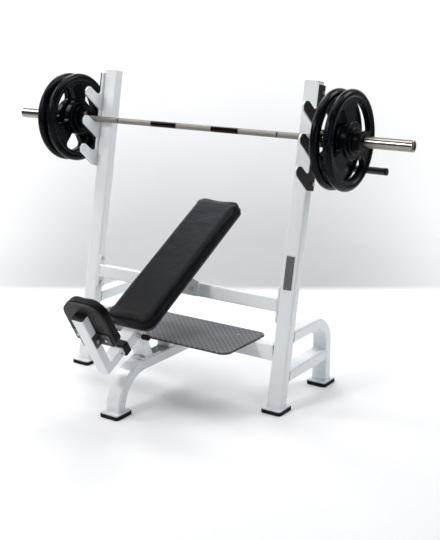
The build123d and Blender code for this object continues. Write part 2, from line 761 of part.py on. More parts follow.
with BuildPart() as seat_bolts:
    # one bolt through both angles and the arm, with its nut, and a screw up into the board
    half = SLIDE_W / 2 + ANGLE_T
    run = (0, math.cos(slope), math.sin(slope))
    spot = shifted(rail_side_plane(half), arm_middle, angle_middle).origin
    shank = 2 * half + M10_HEAD_T + THREAD_OUT
    bolt(Plane(origin=spot, x_dir=run, z_dir=(1, 0, 0)), M10_HEAD_R, M10_HEAD_T, M10_R, shank)
    nut_plane = shifted(rail_side_plane(-half), arm_middle, angle_middle)
    with BuildSketch(nut_plane):
        RegularPolygon(M10_HEAD_R, 6)
    extrude(amount=-M10_HEAD_T)
    for side in (LEFT, RIGHT):
        face = shifted(rail_cross_plane(ARM_REAR - ANGLE_T), side * ANGLE_BOLT_X, -angle_middle)
        plane = Plane(origin=face.origin, x_dir=(1, 0, 0), z_dir=-face.z_dir)
        bolt(plane, M8_HEAD_R, M8_HEAD_T, M8_R, ANGLE_T + SEAT_BOARD_T - BOLT_SHORT)


def seat_outline(inset):
    """Seat outline in the current sketch: rounded front end up, squarer back end down."""
    half_w = SEAT_W / 2 - inset
    with BuildLine() as edge:
        Polyline(
            (-half_w, -SEAT_LOW - inset),
            (-half_w, -SEAT_HIGH + inset),
            (half_w, -SEAT_HIGH + inset),
            (half_w, -SEAT_LOW - inset),
            close=True,
        )
    make_face(edge.edges())


with BuildPart() as seat_board:
    with BuildSketch(rail_cross_plane(ARM_REAR)) as board_face:
        seat_outline(BOARD_INSET)
        fillet(board_face.vertices().group_by(Axis.Y)[0], SEAT_FRONT_R - BOARD_INSET)
        fillet(board_face.vertices().group_by(Axis.Y)[-1], SEAT_BACK_R - BOARD_INSET)
        with Locations((-ANGLE_BOLT_X, -angle_middle), (ANGLE_BOLT_X, -angle_middle)):
            Circle(M8_R + HOLE_EASE, mode=Mode.SUBTRACT)
    extrude(amount=SEAT_BOARD_T)

with BuildPart() as seat_pad:
    with BuildSketch(rail_cross_plane(ARM_REAR + SEAT_BOARD_T)) as pad_face:
        seat_outline(0)
        fillet(pad_face.vertices().group_by(Axis.Y)[0], SEAT_FRONT_R)
        fillet(pad_face.vertices().group_by(Axis.Y)[-1], SEAT_BACK_R)
    extrude(amount=SEAT_FOAM_T)
    top = seat_pad.faces().sort_by(Axis((0, 0, 0), (0, math.cos(slope), math.sin(slope))))[-1]
    fillet(top.edges(), SEAT_EDGE_R)


# ---------------------------------------------------------------- pull pin
pin_tip = SLIDE_W / 2 + PIN_PARK_GAP
barrel_end = RAIL_W / 2 + BARREL_LEN
knob_start = barrel_end + PIN_TRAVEL + KNOB_GAP

with BuildPart() as pin_barrel:
    with BuildSketch(shifted(rail_side_plane(RAIL_W / 2), PIN_ALONG, RAIL_RISE)):
        Circle(BARREL_R)
        Circle(PIN_R + PIN_RUN_GAP, mode=Mode.SUBTRACT)
    extrude(amount=BARREL_LEN)

with BuildPart() as pull_pin:
    with BuildSketch(shifted(rail_side_plane(pin_tip), PIN_ALONG, RAIL_RISE)):
        Circle(PIN_R)
    extrude(amount=knob_start + KNOB_LEN / 2 - pin_tip)
    chamfer(pull_pin.faces().sort_by(Axis.X)[0].edges(), PIN_TIP_CHAMFER)

with BuildPart() as pin_knob:
    with BuildSketch(shifted(rail_side_plane(knob_start), PIN_ALONG, RAIL_RISE)):
        Circle(KNOB_R)
    extrude(amount=KNOB_LEN)
    fillet(pin_knob.faces().sort_by(Axis.X)[-1].edges(), KNOB_EDGE_R)
    fillet(pin_knob.faces().sort_by(Axis.X)[0].edges(), KNOB_EDGE_R / 2)
    with BuildSketch(shifted(rail_side_plane(knob_start), PIN_ALONG, RAIL_RISE)):
        Circle(PIN_R)
    extrude(amount=KNOB_LEN / 2, mode=Mode.SUBTRACT)


# ---------------------------------------------------------------- hook racks
valley_r = SHAFT_R + HOOK_REST_GAP


def hook_outline(inset):
    """Three forward hooks on one strip, measured forward of the upright and up it."""
    top = BAR_UP + RACK_TOP - inset
    bottom = BAR_UP - HOOK_PITCH - HOOK_LOW + inset
    front = STRIP_FRONT - inset
    points = [(-STRIP_BACK + inset, bottom), (-STRIP_BACK + inset, top), (front, top)]
    for level in (1, 0, -1):
        up = BAR_UP + level * HOOK_PITCH
        points += [
            (front, up - valley_r + HOOK_STEP),
            (STRIP_FRONT + HOOK_LEDGE, up - valley_r - inset),
            (BAR_FORWARD + HOOK_STEP, up - valley_r - inset),
            (NOSE_BACK[0] - inset, up + NOSE_BACK[1] - inset),
            (NOSE_CROWN[0] - inset, up + NOSE_CROWN[1] - inset),
            (NOSE_TIP[0] - inset, up + NOSE_TIP[1]),
            (NOSE_CHIN[0] - inset, up + NOSE_CHIN[1] + inset),
            (front, up - HOOK_LOW + inset),
        ]
    with BuildLine() as edge:
        Polyline(*points, close=True)
    make_face(edge.edges())
    # each valley is round under the bar
    for level in (1, 0, -1):
        with Locations((BAR_FORWARD, BAR_UP + level * HOOK_PITCH)):
            Circle(valley_r + inset, mode=Mode.SUBTRACT)


def make_hook_plate(side, start_x, thickness, inset):
    """One rack plate outside an upright, from start_x outwards."""
    with BuildPart() as rack:
        with BuildSketch(lean_side_plane(side * start_x)):
            hook_outline(inset)
            with Locations(*[(-HOOK_BOLT_BACK, up) for up in hook_bolt_ups]):
                Circle(M10_R + HOLE_EASE, mode=Mode.SUBTRACT)
        extrude(amount=-side * thickness)
    return rack.part


with BuildPart() as hook_bolts:
    rack_face = outer_face_x + HOOK_T + LINER_T
    for side in (LEFT, RIGHT):
        for up in hook_bolt_ups:
            forward = (0, -math.cos(lean), math.sin(lean))
            spot = shifted(lean_side_plane(side * rack_face), -HOOK_BOLT_BACK, up).origin
            plane = Plane(origin=spot, x_dir=forward, z_dir=(side, 0, 0))
            shank = HOOK_T + LINER_T + TUBE_WALL + THREAD_OUT
            bolt(plane, M10_HEAD_R, M10_HEAD_T, M10_R, shank)


# ---------------------------------------------------------------- weight horn
horn_y = UPRIGHT_FRONT_Y + HORN_BACK
horn_root_x = outer_face_x - TUBE_W / 2

with BuildPart() as horn_bracket:
    # plate on the upright's back face, reaching back to carry the horn
    plate_x = horn_root_x - HORN_BRACKET_T / 2
    side_view = Plane(origin=(plate_x, 0, 0), x_dir=(0, 1, 0), z_dir=(1, 0, 0))
    low = HORN_Z - HORN_BRACKET_H
    high = HORN_Z + HORN_BRACKET_H / 2
    with BuildSketch(side_view):
        with BuildLine():
            Polyline(
                (UPRIGHT_FRONT_Y + low * math.tan(lean), low),
                (horn_y - HORN_NOSE_R / 2, HORN_Z - HORN_NOSE_R),
                (horn_y + HORN_NOSE_R / 2, HORN_Z - HORN_NOSE_R / 2),
                (horn_y + HORN_NOSE_R, HORN_Z),
                (horn_y + HORN_NOSE_R / 2, HORN_Z + HORN_NOSE_R / 2),
                (horn_y - HORN_NOSE_R / 2, HORN_Z + HORN_NOSE_R),
                (UPRIGHT_FRONT_Y + high * math.tan(lean), high),
                close=True,
            )
        make_face()
    extrude(amount=HORN_BRACKET_T)
    split(bisect_by=upright_back, keep=Keep.TOP)

with BuildPart() as horn_tube:
    start_x = horn_root_x + HORN_BRACKET_T / 2
    start = Plane(origin=(start_x, horn_y, HORN_Z), x_dir=(0, 1, 0), z_dir=(1, 0, 0))
    with BuildSketch(start):
        Circle(HORN_R)
        Circle(HORN_R - TUBE_WALL, mode=Mode.SUBTRACT)
    extrude(amount=HORN_END_X - HORN_CAP_T - start_x)

with BuildPart() as horn_cap:
    start_x = HORN_END_X - HORN_CAP_T
    start = Plane(origin=(start_x, horn_y, HORN_Z), x_dir=(0, 1, 0), z_dir=(1, 0, 0))
    with BuildSketch(start):
        Circle(HORN_R)
    extrude(amount=HORN_CAP_T)
    fillet(horn_cap.faces().sort_by(Axis.X)[-1].edges(), HORN_CAP_R)
    with BuildSketch(start):
        Circle(HORN_R - TUBE_WALL - PLUG_GAP)
    extrude(amount=-PLUG_DEPTH)


# ---------------------------------------------------------------- spotter platform
platform_mid = (PLATFORM_FRONT + PLATFORM_BACK) / 2
platform_len = PLATFORM_BACK - PLATFORM_FRONT
riser_mid = RISER_FRONT + RISER_W / 2

with BuildPart() as platform_plate:
    with BuildSketch(floor_plane(platform_low)):
        with Locations((0, platform_mid)):
            RectangleRounded(PLATFORM_X, platform_len, PLATFORM_R)
        with Locations(*platform_bolt_places):
            Circle(M8_R + HOLE_EASE, mode=Mode.SUBTRACT)
    extrude(amount=PLATFORM_T)

with BuildPart() as platform_mat:
    with BuildSketch(floor_plane(platform_low + PLATFORM_T)):
        with Locations((0, platform_mid)):
            RectangleRounded(
                PLATFORM_X - 2 * MAT_INSET,
                platform_len - 2 * MAT_INSET,
                PLATFORM_R - MAT_INSET,
            )
        with Locations(*platform_bolt_places):
            Circle(M8_HEAD_R + MAT_BOLT_GAP, mode=Mode.SUBTRACT)
    extrude(amount=MAT_T)

with BuildPart() as platform_bolts:
    for x, y in platform_bolt_places:
        plane = shifted(floor_plane(platform_low + PLATFORM_T), x, y)
        bolt(plane, M8_HEAD_R, MAT_T - MAT_BOLT_DROP, M8_R, PLATFORM_T + TUBE_WALL + THREAD_OUT)

with BuildPart() as platform_riser:
    with BuildSketch(floor_plane(spine_top)):
        with Locations((0, riser_mid)):
            box_section(TUBE_W, RISER_W, TUBE_WALL, TUBE_R)
    extrude(amount=platform_low - spine_top)


# ---------------------------------------------------------------- maker's plate
with BuildPart() as badge:
    with BuildSketch(shifted(lean_front_plane(upright_x), 0, BADGE_UP + BADGE_H / 2)):
        RectangleRounded(BADGE_W, BADGE_H, BADGE_R)
    extrude(amount=BADGE_T)


# ---------------------------------------------------------------- bar
journal_end = BAR_LEN / 2 - SLEEVE_END_T - SLEEVE_END_GAP

with BuildPart() as bar_shaft:
    with BuildSketch(across_bar(-sleeve_start)):
        Circle(SHAFT_R)
    extrude(amount=SHAFT_LEN)
    with BuildSketch(across_bar(-journal_end)):
        Circle(JOURNAL_R)
    extrude(amount=2 * journal_end)


def make_sleeve(side):
    """Rotating sleeve: flange next to the shaft, closed outer end with a shallow cup."""
    start = side * (sleeve_start + SHOULDER_GAP)
    flange_len = SLEEVE_FLANGE_T - SHOULDER_GAP
    total = BAR_LEN / 2 - sleeve_start - SHOULDER_GAP
    with BuildPart() as sleeve:
        with BuildSketch(across_bar(start)):
            Circle(SLEEVE_FLANGE_R)
        extrude(amount=side * flange_len)
        with BuildSketch(across_bar(start)):
            Circle(SLEEVE_R)
        extrude(amount=side * total)
        chamfer(sleeve.faces().sort_by(Axis.X)[-1 if side > 0 else 0].edges(), SLEEVE_CHAMFER)
        with BuildSketch(across_bar(start)):
            Circle(JOURNAL_R + JOURNAL_GAP)
        extrude(amount=side * (total - SLEEVE_END_T), mode=Mode.SUBTRACT)
        with BuildSketch(across_bar(side * BAR_LEN / 2)):
            Circle(SLEEVE_CUP_R)
        extrude(amount=-side * SLEEVE_CUP_T, mode=Mode.SUBTRACT)
    return sleeve.part


def make_disc(start, side, turn):
    """Rubber disc: thick rounded rim, thin web with three openings, stepped hub, bored."""
    centre = start + side * DISC_T / 2
    rim_w = DISC_R - DISC_RIM_IN_R
    with BuildPart() as disc:
        with BuildSketch(radial_plane()):
            with Locations((centre, DISC_R - rim_w / 2)):
                RectangleRounded(DISC_RIM_T, rim_w, rim_w / 2 - DISC_RIM_FLAT)
            with Locations((centre, (DISC_RIM_IN_R + bore_r) / 2 + DISC_WEB_LAP)):
                Rectangle(DISC_WEB_T, DISC_RIM_IN_R - bore_r + 2 * DISC_WEB_LAP)
            with Locations((centre, (DISC_STEP_R + bore_r) / 2)):
                RectangleRounded(DISC_STEP_T, DISC_STEP_R - bore_r, DISC_EDGE_R)
            with Locations((centre, (DISC_HUB_R + bore_r) / 2)):
                RectangleRounded(DISC_T, DISC_HUB_R - bore_r, DISC_EDGE_R)
        revolve(axis=bar_axis)
        with BuildSketch(across_bar(centre)) as grips:
            for grip in range(GRIP_COUNT):
                begin = turn + grip * 360 / GRIP_COUNT - GRIP_HALF_ANGLE
                with BuildLine():
                    outer = CenterArc((0, 0), GRIP_OUT_R, begin, 2 * GRIP_HALF_ANGLE)
                    inner = CenterArc((0, 0), GRIP_IN_R, begin, 2 * GRIP_HALF_ANGLE)
                    Line(outer @ 0, inner @ 0)
                    Line(outer @ 1, inner @ 1)
                make_face()
            fillet(grips.vertices(), GRIP_CORNER_R)
        extrude(amount=DISC_T, both=True, mode=Mode.SUBTRACT)
    return disc.part


def make_clamp(start, side):
    """Split clamp ring on the sleeve with a blind hole for the lever's pin."""
    with BuildPart() as ring:
        with BuildSketch(across_bar(start)):
            Circle(CLAMP_R)
            Circle(clamp_bore_r, mode=Mode.SUBTRACT)
            with PolarLocations(CLAMP_R, 1, start_angle=CLAMP_SPLIT_TURN):
                Rectangle(CLAMP_R, CLAMP_SPLIT, mode=Mode.SUBTRACT)
        extrude(amount=side * CLAMP_W)
        pin_r = LEVER_IN_R + LEVER_W / 2 - LEVER_PIN_IN
        with BuildSketch(across_bar(start + side * CLAMP_W)):
            with PolarLocations(pin_r, 1, start_angle=LEVER_TURN):
                Circle(LEVER_PIN_R + PIN_RUN_GAP)
        extrude(amount=-side * CLAMP_W / 2, mode=Mode.SUBTRACT)
    return ring.part


def make_lever(start, side):
    """Curved clamp lever beside the ring, with its pin and a thumb tab."""
    face = start + side * (CLAMP_W + LEVER_GAP)
    middle_r = LEVER_IN_R + LEVER_W / 2
    arc = CenterArc((0, 0), middle_r, LEVER_TURN, LEVER_SWEEP)
    with BuildPart() as lever:
        with BuildSketch(across_bar(face)):
            SlotArc(arc, LEVER_W)
            with PolarLocations(LEVER_OUT_R + LEVER_TAB / 2 - LEVER_TAB_LAP, 1, start_angle=LEVER_TURN):
                RectangleRounded(LEVER_TAB, LEVER_TAB_W, LEVER_TAB_R)
        extrude(amount=side * LEVER_T)
        with BuildSketch(across_bar(face)):
            with PolarLocations(middle_r - LEVER_PIN_IN, 1, start_angle=LEVER_TURN):
                Circle(LEVER_PIN_R)
        extrude(amount=-side * (LEVER_GAP + CLAMP_W / 2 - LEVER_PIN_SHORT))
    return lever.part


def disc_start(side, place):
    """X of a disc's inner face: place 0 is next to the flange."""
    gap = RIGHT_GAP if side > 0 else LEFT_GAP
    return side * (sleeve_face + gap + place * DISC_T)


def clamp_start(side):
    """X of a clamp ring's inner face."""
    return disc_start(side, 2) + side * CLAMP_GAP


# ---------------------------------------------------------------- write every piece
os.makedirs("parts", exist_ok=True)
for side, word in ((LEFT, "left"), (RIGHT, "right")):
    save(make_upright(side), "upright_" + word)
    save(make_rear_leg(side), "rear_leg_" + word)
    save(make_side_brace(side), "side_brace_" + word)
    save(make_flange(side), "cross_flange_" + word)
    save(make_hook_plate(side, outer_face_x, HOOK_T, 0), "hook_plate_" + word)
    save(make_hook_plate(side, outer_face_x + HOOK_T, LINER_T, LINER_INSET), "hook_liner_" + word)
    save(make_sleeve(side), "bar_sleeve_" + word)
    turns = RIGHT_GRIP_TURNS if side > 0 else LEFT_GRIP_TURNS
    save(make_disc(disc_start(side, 0), side, turns[0]), "disc_inner_" + word)
    save(make_disc(disc_start(side, 1), side, turns[1]), "disc_outer_" + word)
    save(make_clamp(clamp_start(side), side), "clamp_ring_" + word)
    save(make_lever(clamp_start(side), side), "clamp_lever_" + word)

save(make_caps(), "upright_caps")
save(foot_pads.part, "foot_pads")
save(foot_plates.part, "foot_plates")
save(upper_cross.part, "upper_cross_tube")
save(flange_bolts.part, "cross_flange_bolts")
save(lower_cross.part, "lower_cross_tube")
save(spine.part, "spine_tube")
save(post_base.part, "post_base_plate")
save(post_bolts.part, "post_base_bolts")
save(pad_post.part, "pad_post")
save(pad_rail.part, "pad_rail")
save(rail_cap.part, "pad_rail_cap")
save(rail_bushing.part, "rail_bushing")
save(rail_bracket.part, "rail_bracket")
save(bracket_bolts.part, "rail_bracket_bolts")
save(back_board.part, "back_board")
save(back_pad.part, "back_pad")
save(back_pad_bolts.part, "back_pad_bolts")
save(seat_slide.part, "seat_slide_tube")
save(seat_arm.part, "seat_arm")
save(arm_cap.part, "seat_arm_cap")
save(seat_angles.part, "seat_angles")
save(seat_bolts.part, "seat_bolts")
save(seat_board.part, "seat_board")
save(seat_pad.part, "seat_pad")
save(pin_barrel.part, "pin_barrel")
save(pull_pin.part, "pull_pin")
save(pin_knob.part, "pin_knob")
save(hook_bolts.part, "hook_bolts")
save(horn_bracket.part, "horn_bracket")
save(horn_tube.part, "horn_tube")
save(horn_cap.part, "horn_cap")
save(platform_plate.part, "platform_plate")
save(platform_mat.part, "platform_mat")
save(platform_bolts.part, "platform_bolts")
save(platform_riser.part, "platform_riser")
save(badge.part, "blank_badge")
save(bar_shaft.part, "bar_shaft")
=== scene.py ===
"""Looks of an incline bench press: finishes, sewn pads, weld beads, floor, light and camera."""

from __future__ import annotations

import logging
import math
from dataclasses import dataclass
from enum import Enum
from typing import Any, Mapping, Sequence

import bmesh
import bpy
import numpy as np
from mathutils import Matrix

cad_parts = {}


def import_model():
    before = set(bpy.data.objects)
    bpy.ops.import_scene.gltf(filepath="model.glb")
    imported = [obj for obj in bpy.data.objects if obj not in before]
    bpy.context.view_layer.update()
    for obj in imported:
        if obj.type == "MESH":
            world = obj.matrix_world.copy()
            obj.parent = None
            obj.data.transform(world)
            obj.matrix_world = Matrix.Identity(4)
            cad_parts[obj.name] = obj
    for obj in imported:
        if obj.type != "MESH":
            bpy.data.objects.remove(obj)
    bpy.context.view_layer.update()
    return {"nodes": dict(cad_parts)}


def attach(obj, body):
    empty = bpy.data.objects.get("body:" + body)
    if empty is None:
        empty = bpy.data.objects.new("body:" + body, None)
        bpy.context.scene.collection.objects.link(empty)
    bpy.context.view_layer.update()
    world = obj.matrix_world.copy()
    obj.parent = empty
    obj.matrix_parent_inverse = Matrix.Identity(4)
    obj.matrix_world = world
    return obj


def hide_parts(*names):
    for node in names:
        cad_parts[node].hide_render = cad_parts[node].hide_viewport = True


LOG = logging.getLogger("bench")
Rgb = tuple[float, float, float]
FRONT_Y = 0.0745
LEAN = math.radians(11.13)
SLOPE = math.radians(29.3)
BAR_UP = 1.2425
BAR_OUT = 0.0389
BAR_Y = FRONT_Y + BAR_UP * math.sin(LEAN) - BAR_OUT * math.cos(LEAN)
BAR_Z = BAR_UP * math.cos(LEAN) + BAR_OUT * math.sin(LEAN)


class Side(Enum):
    """Which end of the bar a piece is on."""

    LEFT = -1
    RIGHT = 1

    @property
    def word(self) -> str:
        """The side's name as the frame's nodes spell it."""
        return self.name.lower()


# ---------------------------------------------------------------- shader writing


class Val:
    """A number socket of one node tree; arithmetic on it adds Math nodes."""

    def __init__(self, maker: "Maker", socket: bpy.types.NodeSocket) -> None:
        """Wraps a socket.

        Args:
            maker: The material that the socket belongs to.
            socket: The output socket that carries the number.
        """
        self.maker = maker
        self.socket = socket

    def math(self, operation: str, *others: "Val | float") -> "Val":
        """This value put through a Math node.

        Args:
            operation: The Math node's operation.
            others: The second and third operands.

        Returns:
            The result.
        """
        inputs: dict[int, Any] = {0: self}
        inputs.update(dict(enumerate(others, start=1)))
        node = self.maker.node("ShaderNodeMath", {"operation": operation}, inputs)
        return Val(self.maker, node.outputs[0])

    def __add__(self, other: "Val | float") -> "Val":
        """Sum."""
        return self.math("ADD", other)

    __radd__ = __add__

    def __sub__(self, other: "Val | float") -> "Val":
        """Difference."""
        return self.math("SUBTRACT", other)

    def __rsub__(self, other: float) -> "Val":
        """Difference from a plain number."""
        return self.math("MULTIPLY", -1.0).math("ADD", other)

    def __mul__(self, other: "Val | float") -> "Val":
        """Product."""
        return self.math("MULTIPLY", other)

    __rmul__ = __mul__

    def __truediv__(self, other: "Val | float") -> "Val":
        """Quotient."""
        return self.math("DIVIDE", other)

    def __abs__(self) -> "Val":
        """Size without its sign."""
        return self.math("ABSOLUTE")

    def __gt__(self, other: "Val | float") -> "Val":
        """One where greater, otherwise nought."""
        return self.math("GREATER_THAN", other)

    def __lt__(self, other: "Val | float") -> "Val":
        """One where less, otherwise nought."""
        return self.math("LESS_THAN", other)

    def sin(self) -> "Val":
        """Sine."""
        return self.math("SINE")

    def band(self, low: float, high: float) -> "Val":
        """One between two bounds, otherwise nought."""
        return (self > low) * (self < high)

    def ease(self, low: float, high: float) -> "Val":
        """Smooth rise from nought at low to one at high."""
        inputs = {"Value": self, "From Min": low, "From Max": high}
        node = self.maker.node("ShaderNodeMapRange", {"interpolation_type": "SMOOTHSTEP"}, inputs)
        return Val(self.maker, node.outputs[0])


class Maker:
    """Writes one material's node tree around a Principled shader."""

    def __init__(self, name: str) -> None:
        """Starts an empty material.

        Args:
            name: The material's name.
        """
        self.material = bpy.data.materials.new(name)
        self.material.use_nodes = True
        self.tree = self.material.node_tree
        self.tree.nodes.clear()
        self._place: bpy.types.NodeSocket | None = None

    def node(
        self, kind: str, settings: Mapping[str, Any] | None = None, inputs: Mapping[Any, Any] | None = None
    ) -> bpy.types.Node:
        """Adds a node.

        Args:
            kind: The node's type.
            settings: Its own properties, set first.
            inputs: Values or links of its input sockets.

        Returns:
            The new node.
        """
        made = self.tree.nodes.new(kind)
        for key, value in (settings or {}).items():
            setattr(made, key, value)
        for key, value in (inputs or {}).items():
            target = made.inputs[key]
            source = value.socket if isinstance(value, Val) else value
            if isinstance(source, bpy.types.NodeSocket):
                self.tree.links.new(source, target)
            else:
                target.default_value = source
        return made

    def place(self) -> bpy.types.NodeSocket:
        """The point's place in metres, in the object's own frame."""
        if self._place is None:
            self._place = self.node("ShaderNodeTexCoord").outputs["Object"]
        return self._place

    def xyz(self) -> tuple[Val, Val, Val]:
        """The point's place as three numbers."""
        split = self.node("ShaderNodeSeparateXYZ", None, {0: self.place()})
        return tuple(Val(self, out) for out in split.outputs)

    def stretched(self, scale: Rgb) -> bpy.types.NodeSocket:
        """The point's place with each axis scaled."""
        return self.node("ShaderNodeMapping", None, {"Vector": self.place(), "Scale": scale}).outputs[0]

    def noise(
        self, scale: float, detail: float = 3.0, stretch: Rgb | None = None, rough: float = 0.5
    ) -> Val:
        """Cloudy value around one half.

        Args:
            scale: Features per metre.
            detail: Octaves.
            stretch: Scale of each axis before the pattern.
            rough: How strong the finer octaves are.

        Returns:
            The pattern's value.
        """
        vector = self.stretched(stretch) if stretch else self.place()
        inputs = {"Vector": vector, "Scale": scale, "Detail": detail, "Roughness": rough}
        return Val(self, self.node("ShaderNodeTexNoise", None, inputs).outputs[0])

    def cells(self, scale: float, feature: str = "F1", stretch: Rgb | None = None) -> Val:
        """Cell pattern: distance to the nearest cell centre or wall."""
        vector = self.stretched(stretch) if stretch else self.place()
        node = self.node("ShaderNodeTexVoronoi", {"feature": feature}, {"Vector": vector, "Scale": scale})
        return Val(self, node.outputs["Distance"])

    def blend(self, factor: Val, first: Any, second: Any) -> bpy.types.NodeSocket:
        """Colour that goes from first to second as factor rises."""
        pair = [(*c, 1.0) if isinstance(c, tuple) else c for c in (first, second)]
        inputs = {0: factor, 6: pair[0], 7: pair[1]}
        return self.node("ShaderNodeMix", {"data_type": "RGBA"}, inputs).outputs[2]

    def bump(self, height: Val, depth: float, strength: float = 1.0, under: Any = None) -> Any:
        """Normal disturbed by a height field.

        Args:
            height: The field, about nought to one.
            depth: Metres between low and high.
            strength: How much of it shows.
            under: A normal to build on.

        Returns:
            The normal socket.
        """
        inputs: dict[str, Any] = {"Height": height, "Distance": depth, "Strength": strength}
        if under is not None:
            inputs["Normal"] = under
        return self.node("ShaderNodeBump", None, inputs).outputs[0]

    def close(self, **sockets: Any) -> bpy.types.Material:
        """Adds the shader and the output.

        Args:
            sockets: Principled inputs, with underscores for spaces.

        Returns:
            The finished material.
        """
        inputs = {}
        for key, value in sockets.items():
            label = key.replace("_", " ").title().replace("Ior", "IOR")
            inputs[label] = (*value, 1.0) if isinstance(value, tuple) else value
        shader = self.node("ShaderNodeBsdfPrincipled", None, inputs)
        self.node("ShaderNodeOutputMaterial", None, {"Surface": shader.outputs[0]})
        return self.material


# ---------------------------------------------------------------- finishes


@dataclass(frozen=True)
class PowderCoat:
    """Sprayed and baked coat: orange peel, faint rub marks, and dust with painted shade towards the floor.
    """

    name: str
    colour: Rgb
    dusty: Rgb
    rough: float = 0.24
    coat: float = 0.6
    dust_top: float = 0.16

    def paint(self) -> bpy.types.Material:
        """The finish as a material."""
        m = Maker(self.name)
        height = m.xyz()[2]
        peel = m.noise(310.0, 2.0)
        rubbed = m.noise(26.0, 5.0, (1.0, 1.0, 4.0), 0.65).ease(0.56, 0.72)
        # Low-down patches: dust, and on the white coat also painted shade near the floor.
        low = (1.0 - height.ease(0.0, self.dust_top)) * m.noise(38.0, 4.0).ease(0.35, 0.75)
        tone = m.noise(2.6, 2.0).ease(0.3, 0.7) * 0.16 + rubbed * 0.12 + low * 0.5
        # The second colour is dust and, on the white coat, a bluish-grey painted shade tone.
        colour = m.blend(tone, self.colour, self.dusty)
        rough = self.rough + rubbed * 0.12 + low * 0.2 + (peel - 0.5) * 0.05
        return m.close(
            base_color=colour,
            roughness=rough,
            normal=m.bump(peel, 0.00016, 0.5),
            coat_weight=self.coat,
            coat_roughness=0.08,
        )


@dataclass(frozen=True)
class Vinyl:
    """Grained upholstery vinyl with soft creases and rubbed high spots."""

    name: str
    colour: Rgb
    worn: Rgb

    def paint(self) -> bpy.types.Material:
        """The finish as a material."""
        m = Maker(self.name)
        grain = m.cells(820.0, "DISTANCE_TO_EDGE").ease(0.0, 0.34)
        pores = m.noise(1500.0, 2.0)
        crease = m.noise(11.0, 4.0, (1.0, 1.6, 1.0), 0.55)
        slack = m.noise(34.0, 3.0, (2.2, 0.8, 0.8))
        worn = m.noise(9.0, 4.0).ease(0.52, 0.8)
        colour = m.blend(worn * 0.7 + grain * 0.12, self.colour, self.worn)
        rough = 0.27 + worn * 0.12 + (1.0 - grain) * 0.1 + (pores - 0.5) * 0.08
        folds = m.bump(crease, 0.006, 0.5)
        sag = m.bump(slack, 0.0016, 0.55, folds)
        return m.close(
            base_color=colour,
            roughness=rough,
            specular_ior_level=0.11,
            normal=m.bump(grain + pores * 0.3, 0.00018, 0.6, sag),
        )


@dataclass(frozen=True)
class Moulded:
    """Moulded plastic or rubber: fine spark texture, pale rub marks."""

    name: str
    colour: Rgb
    rubbed: Rgb
    rough: float = 0.5
    depth: float = 0.00022
    scale: float = 900.0
    shine: float = 0.12

    def paint(self) -> bpy.types.Material:
        """The finish as a material."""
        m = Maker(self.name)
        spark = m.noise(self.scale, 3.0)
        mark = m.noise(60.0, 5.0, (1.0, 2.5, 1.0), 0.7).ease(0.55, 0.8)
        cloud = m.noise(12.0, 3.0)
        colour = m.blend(mark * 0.5 + cloud * 0.25, self.colour, self.rubbed)
        rough = self.rough + (cloud - 0.5) * 0.16 + mark * 0.1
        return m.close(
            base_color=colour,
            roughness=rough,
            specular_ior_level=self.shine,
            normal=m.bump(spark, self.depth, 0.6),
        )


@dataclass(frozen=True)
class DiscRubber:
    """Rubber coat of a disc: turned rim lines, satin face, scuffs on the rim."""

    name: str
    colour: Rgb
    rubbed: Rgb
    rim: float = 0.178
    edge: float = 0.2175
    groove: float = 0.0042
    grooves_from: float = 0.014
    grooves_to: float = 0.002
    scuffed: float = 0.012

    def paint(self) -> bpy.types.Material:
        """The finish as a material."""
        m = Maker(self.name)
        _, y, z = m.xyz()
        out = ((y - BAR_Y) * (y - BAR_Y) + (z - BAR_Z) * (z - BAR_Z)).math("SQRT")
        turned = out.band(self.rim - self.grooves_from, self.rim - self.grooves_to)
        lines = (out * (2 * math.pi / self.groove)).sin() * turned
        fine = m.noise(760.0, 3.0)
        outer = out.ease(self.edge - self.scuffed, self.edge)
        scuff = m.noise(70.0, 5.0, (3.0, 1.0, 1.0), 0.7).ease(0.5, 0.72) * outer
        dust = m.noise(16.0, 4.0).ease(0.42, 0.8)
        colour = m.blend(scuff * 0.7 + dust * 0.22, self.colour, self.rubbed)
        rough = 0.22 + dust * 0.14 + scuff * 0.25 + (fine - 0.5) * 0.1
        rings = m.bump(lines * 0.5 + 0.5, 0.0006, 0.7)
        return m.close(
            base_color=colour,
            roughness=rough,
            specular_ior_level=0.11,
            normal=m.bump(fine, 0.00014, 0.5, rings),
        )


@dataclass(frozen=True)
class TreadMat:
    """Grey rubber tread: raised lozenges, turned by a quarter from cell to cell, with painted light on
    their tops and painted shade in the ground between them.
    """

    name: str
    colour: Rgb
    raised: Rgb
    pitch: float = 0.021

    def paint(self) -> bpy.types.Material:
        """The finish as a material."""
        m = Maker(self.name)
        x, y, _ = m.xyz()
        run = (x + y) * (math.sqrt(0.5) / self.pitch)
        across = (x - y) * (math.sqrt(0.5) / self.pitch)
        cell_u = run.math("FLOOR")
        cell_v = across.math("FLOOR")
        u = run - cell_u - 0.5
        v = across - cell_v - 0.5
        odd = ((cell_u + cell_v) * 0.5).math("FRACT") * 2.0
        long_way = u * (1.0 - odd) + v * odd
        short_way = v * (1.0 - odd) + u * odd
        oval = (long_way * long_way) / 0.2 + (short_way * short_way) / 0.017
        lump = 1.0 - oval.ease(0.55, 1.15)
        grit = m.noise(420.0, 4.0)
        trodden = m.noise(7.0, 4.0).ease(0.4, 0.75)
        # Lozenge tops painted lighter and the ground between them darker: painted light and shade; trodden
        # patches are wear.
        colour = m.blend(lump * 0.75 + trodden * 0.25, self.colour, self.raised)
        rough = 0.5 - lump * 0.12 + trodden * 0.1 + (grit - 0.5) * 0.15
        lumps = m.bump(lump, 0.0016, 1.0)
        return m.close(base_color=colour, roughness=rough, normal=m.bump(grit, 0.0002, 0.5, lumps))


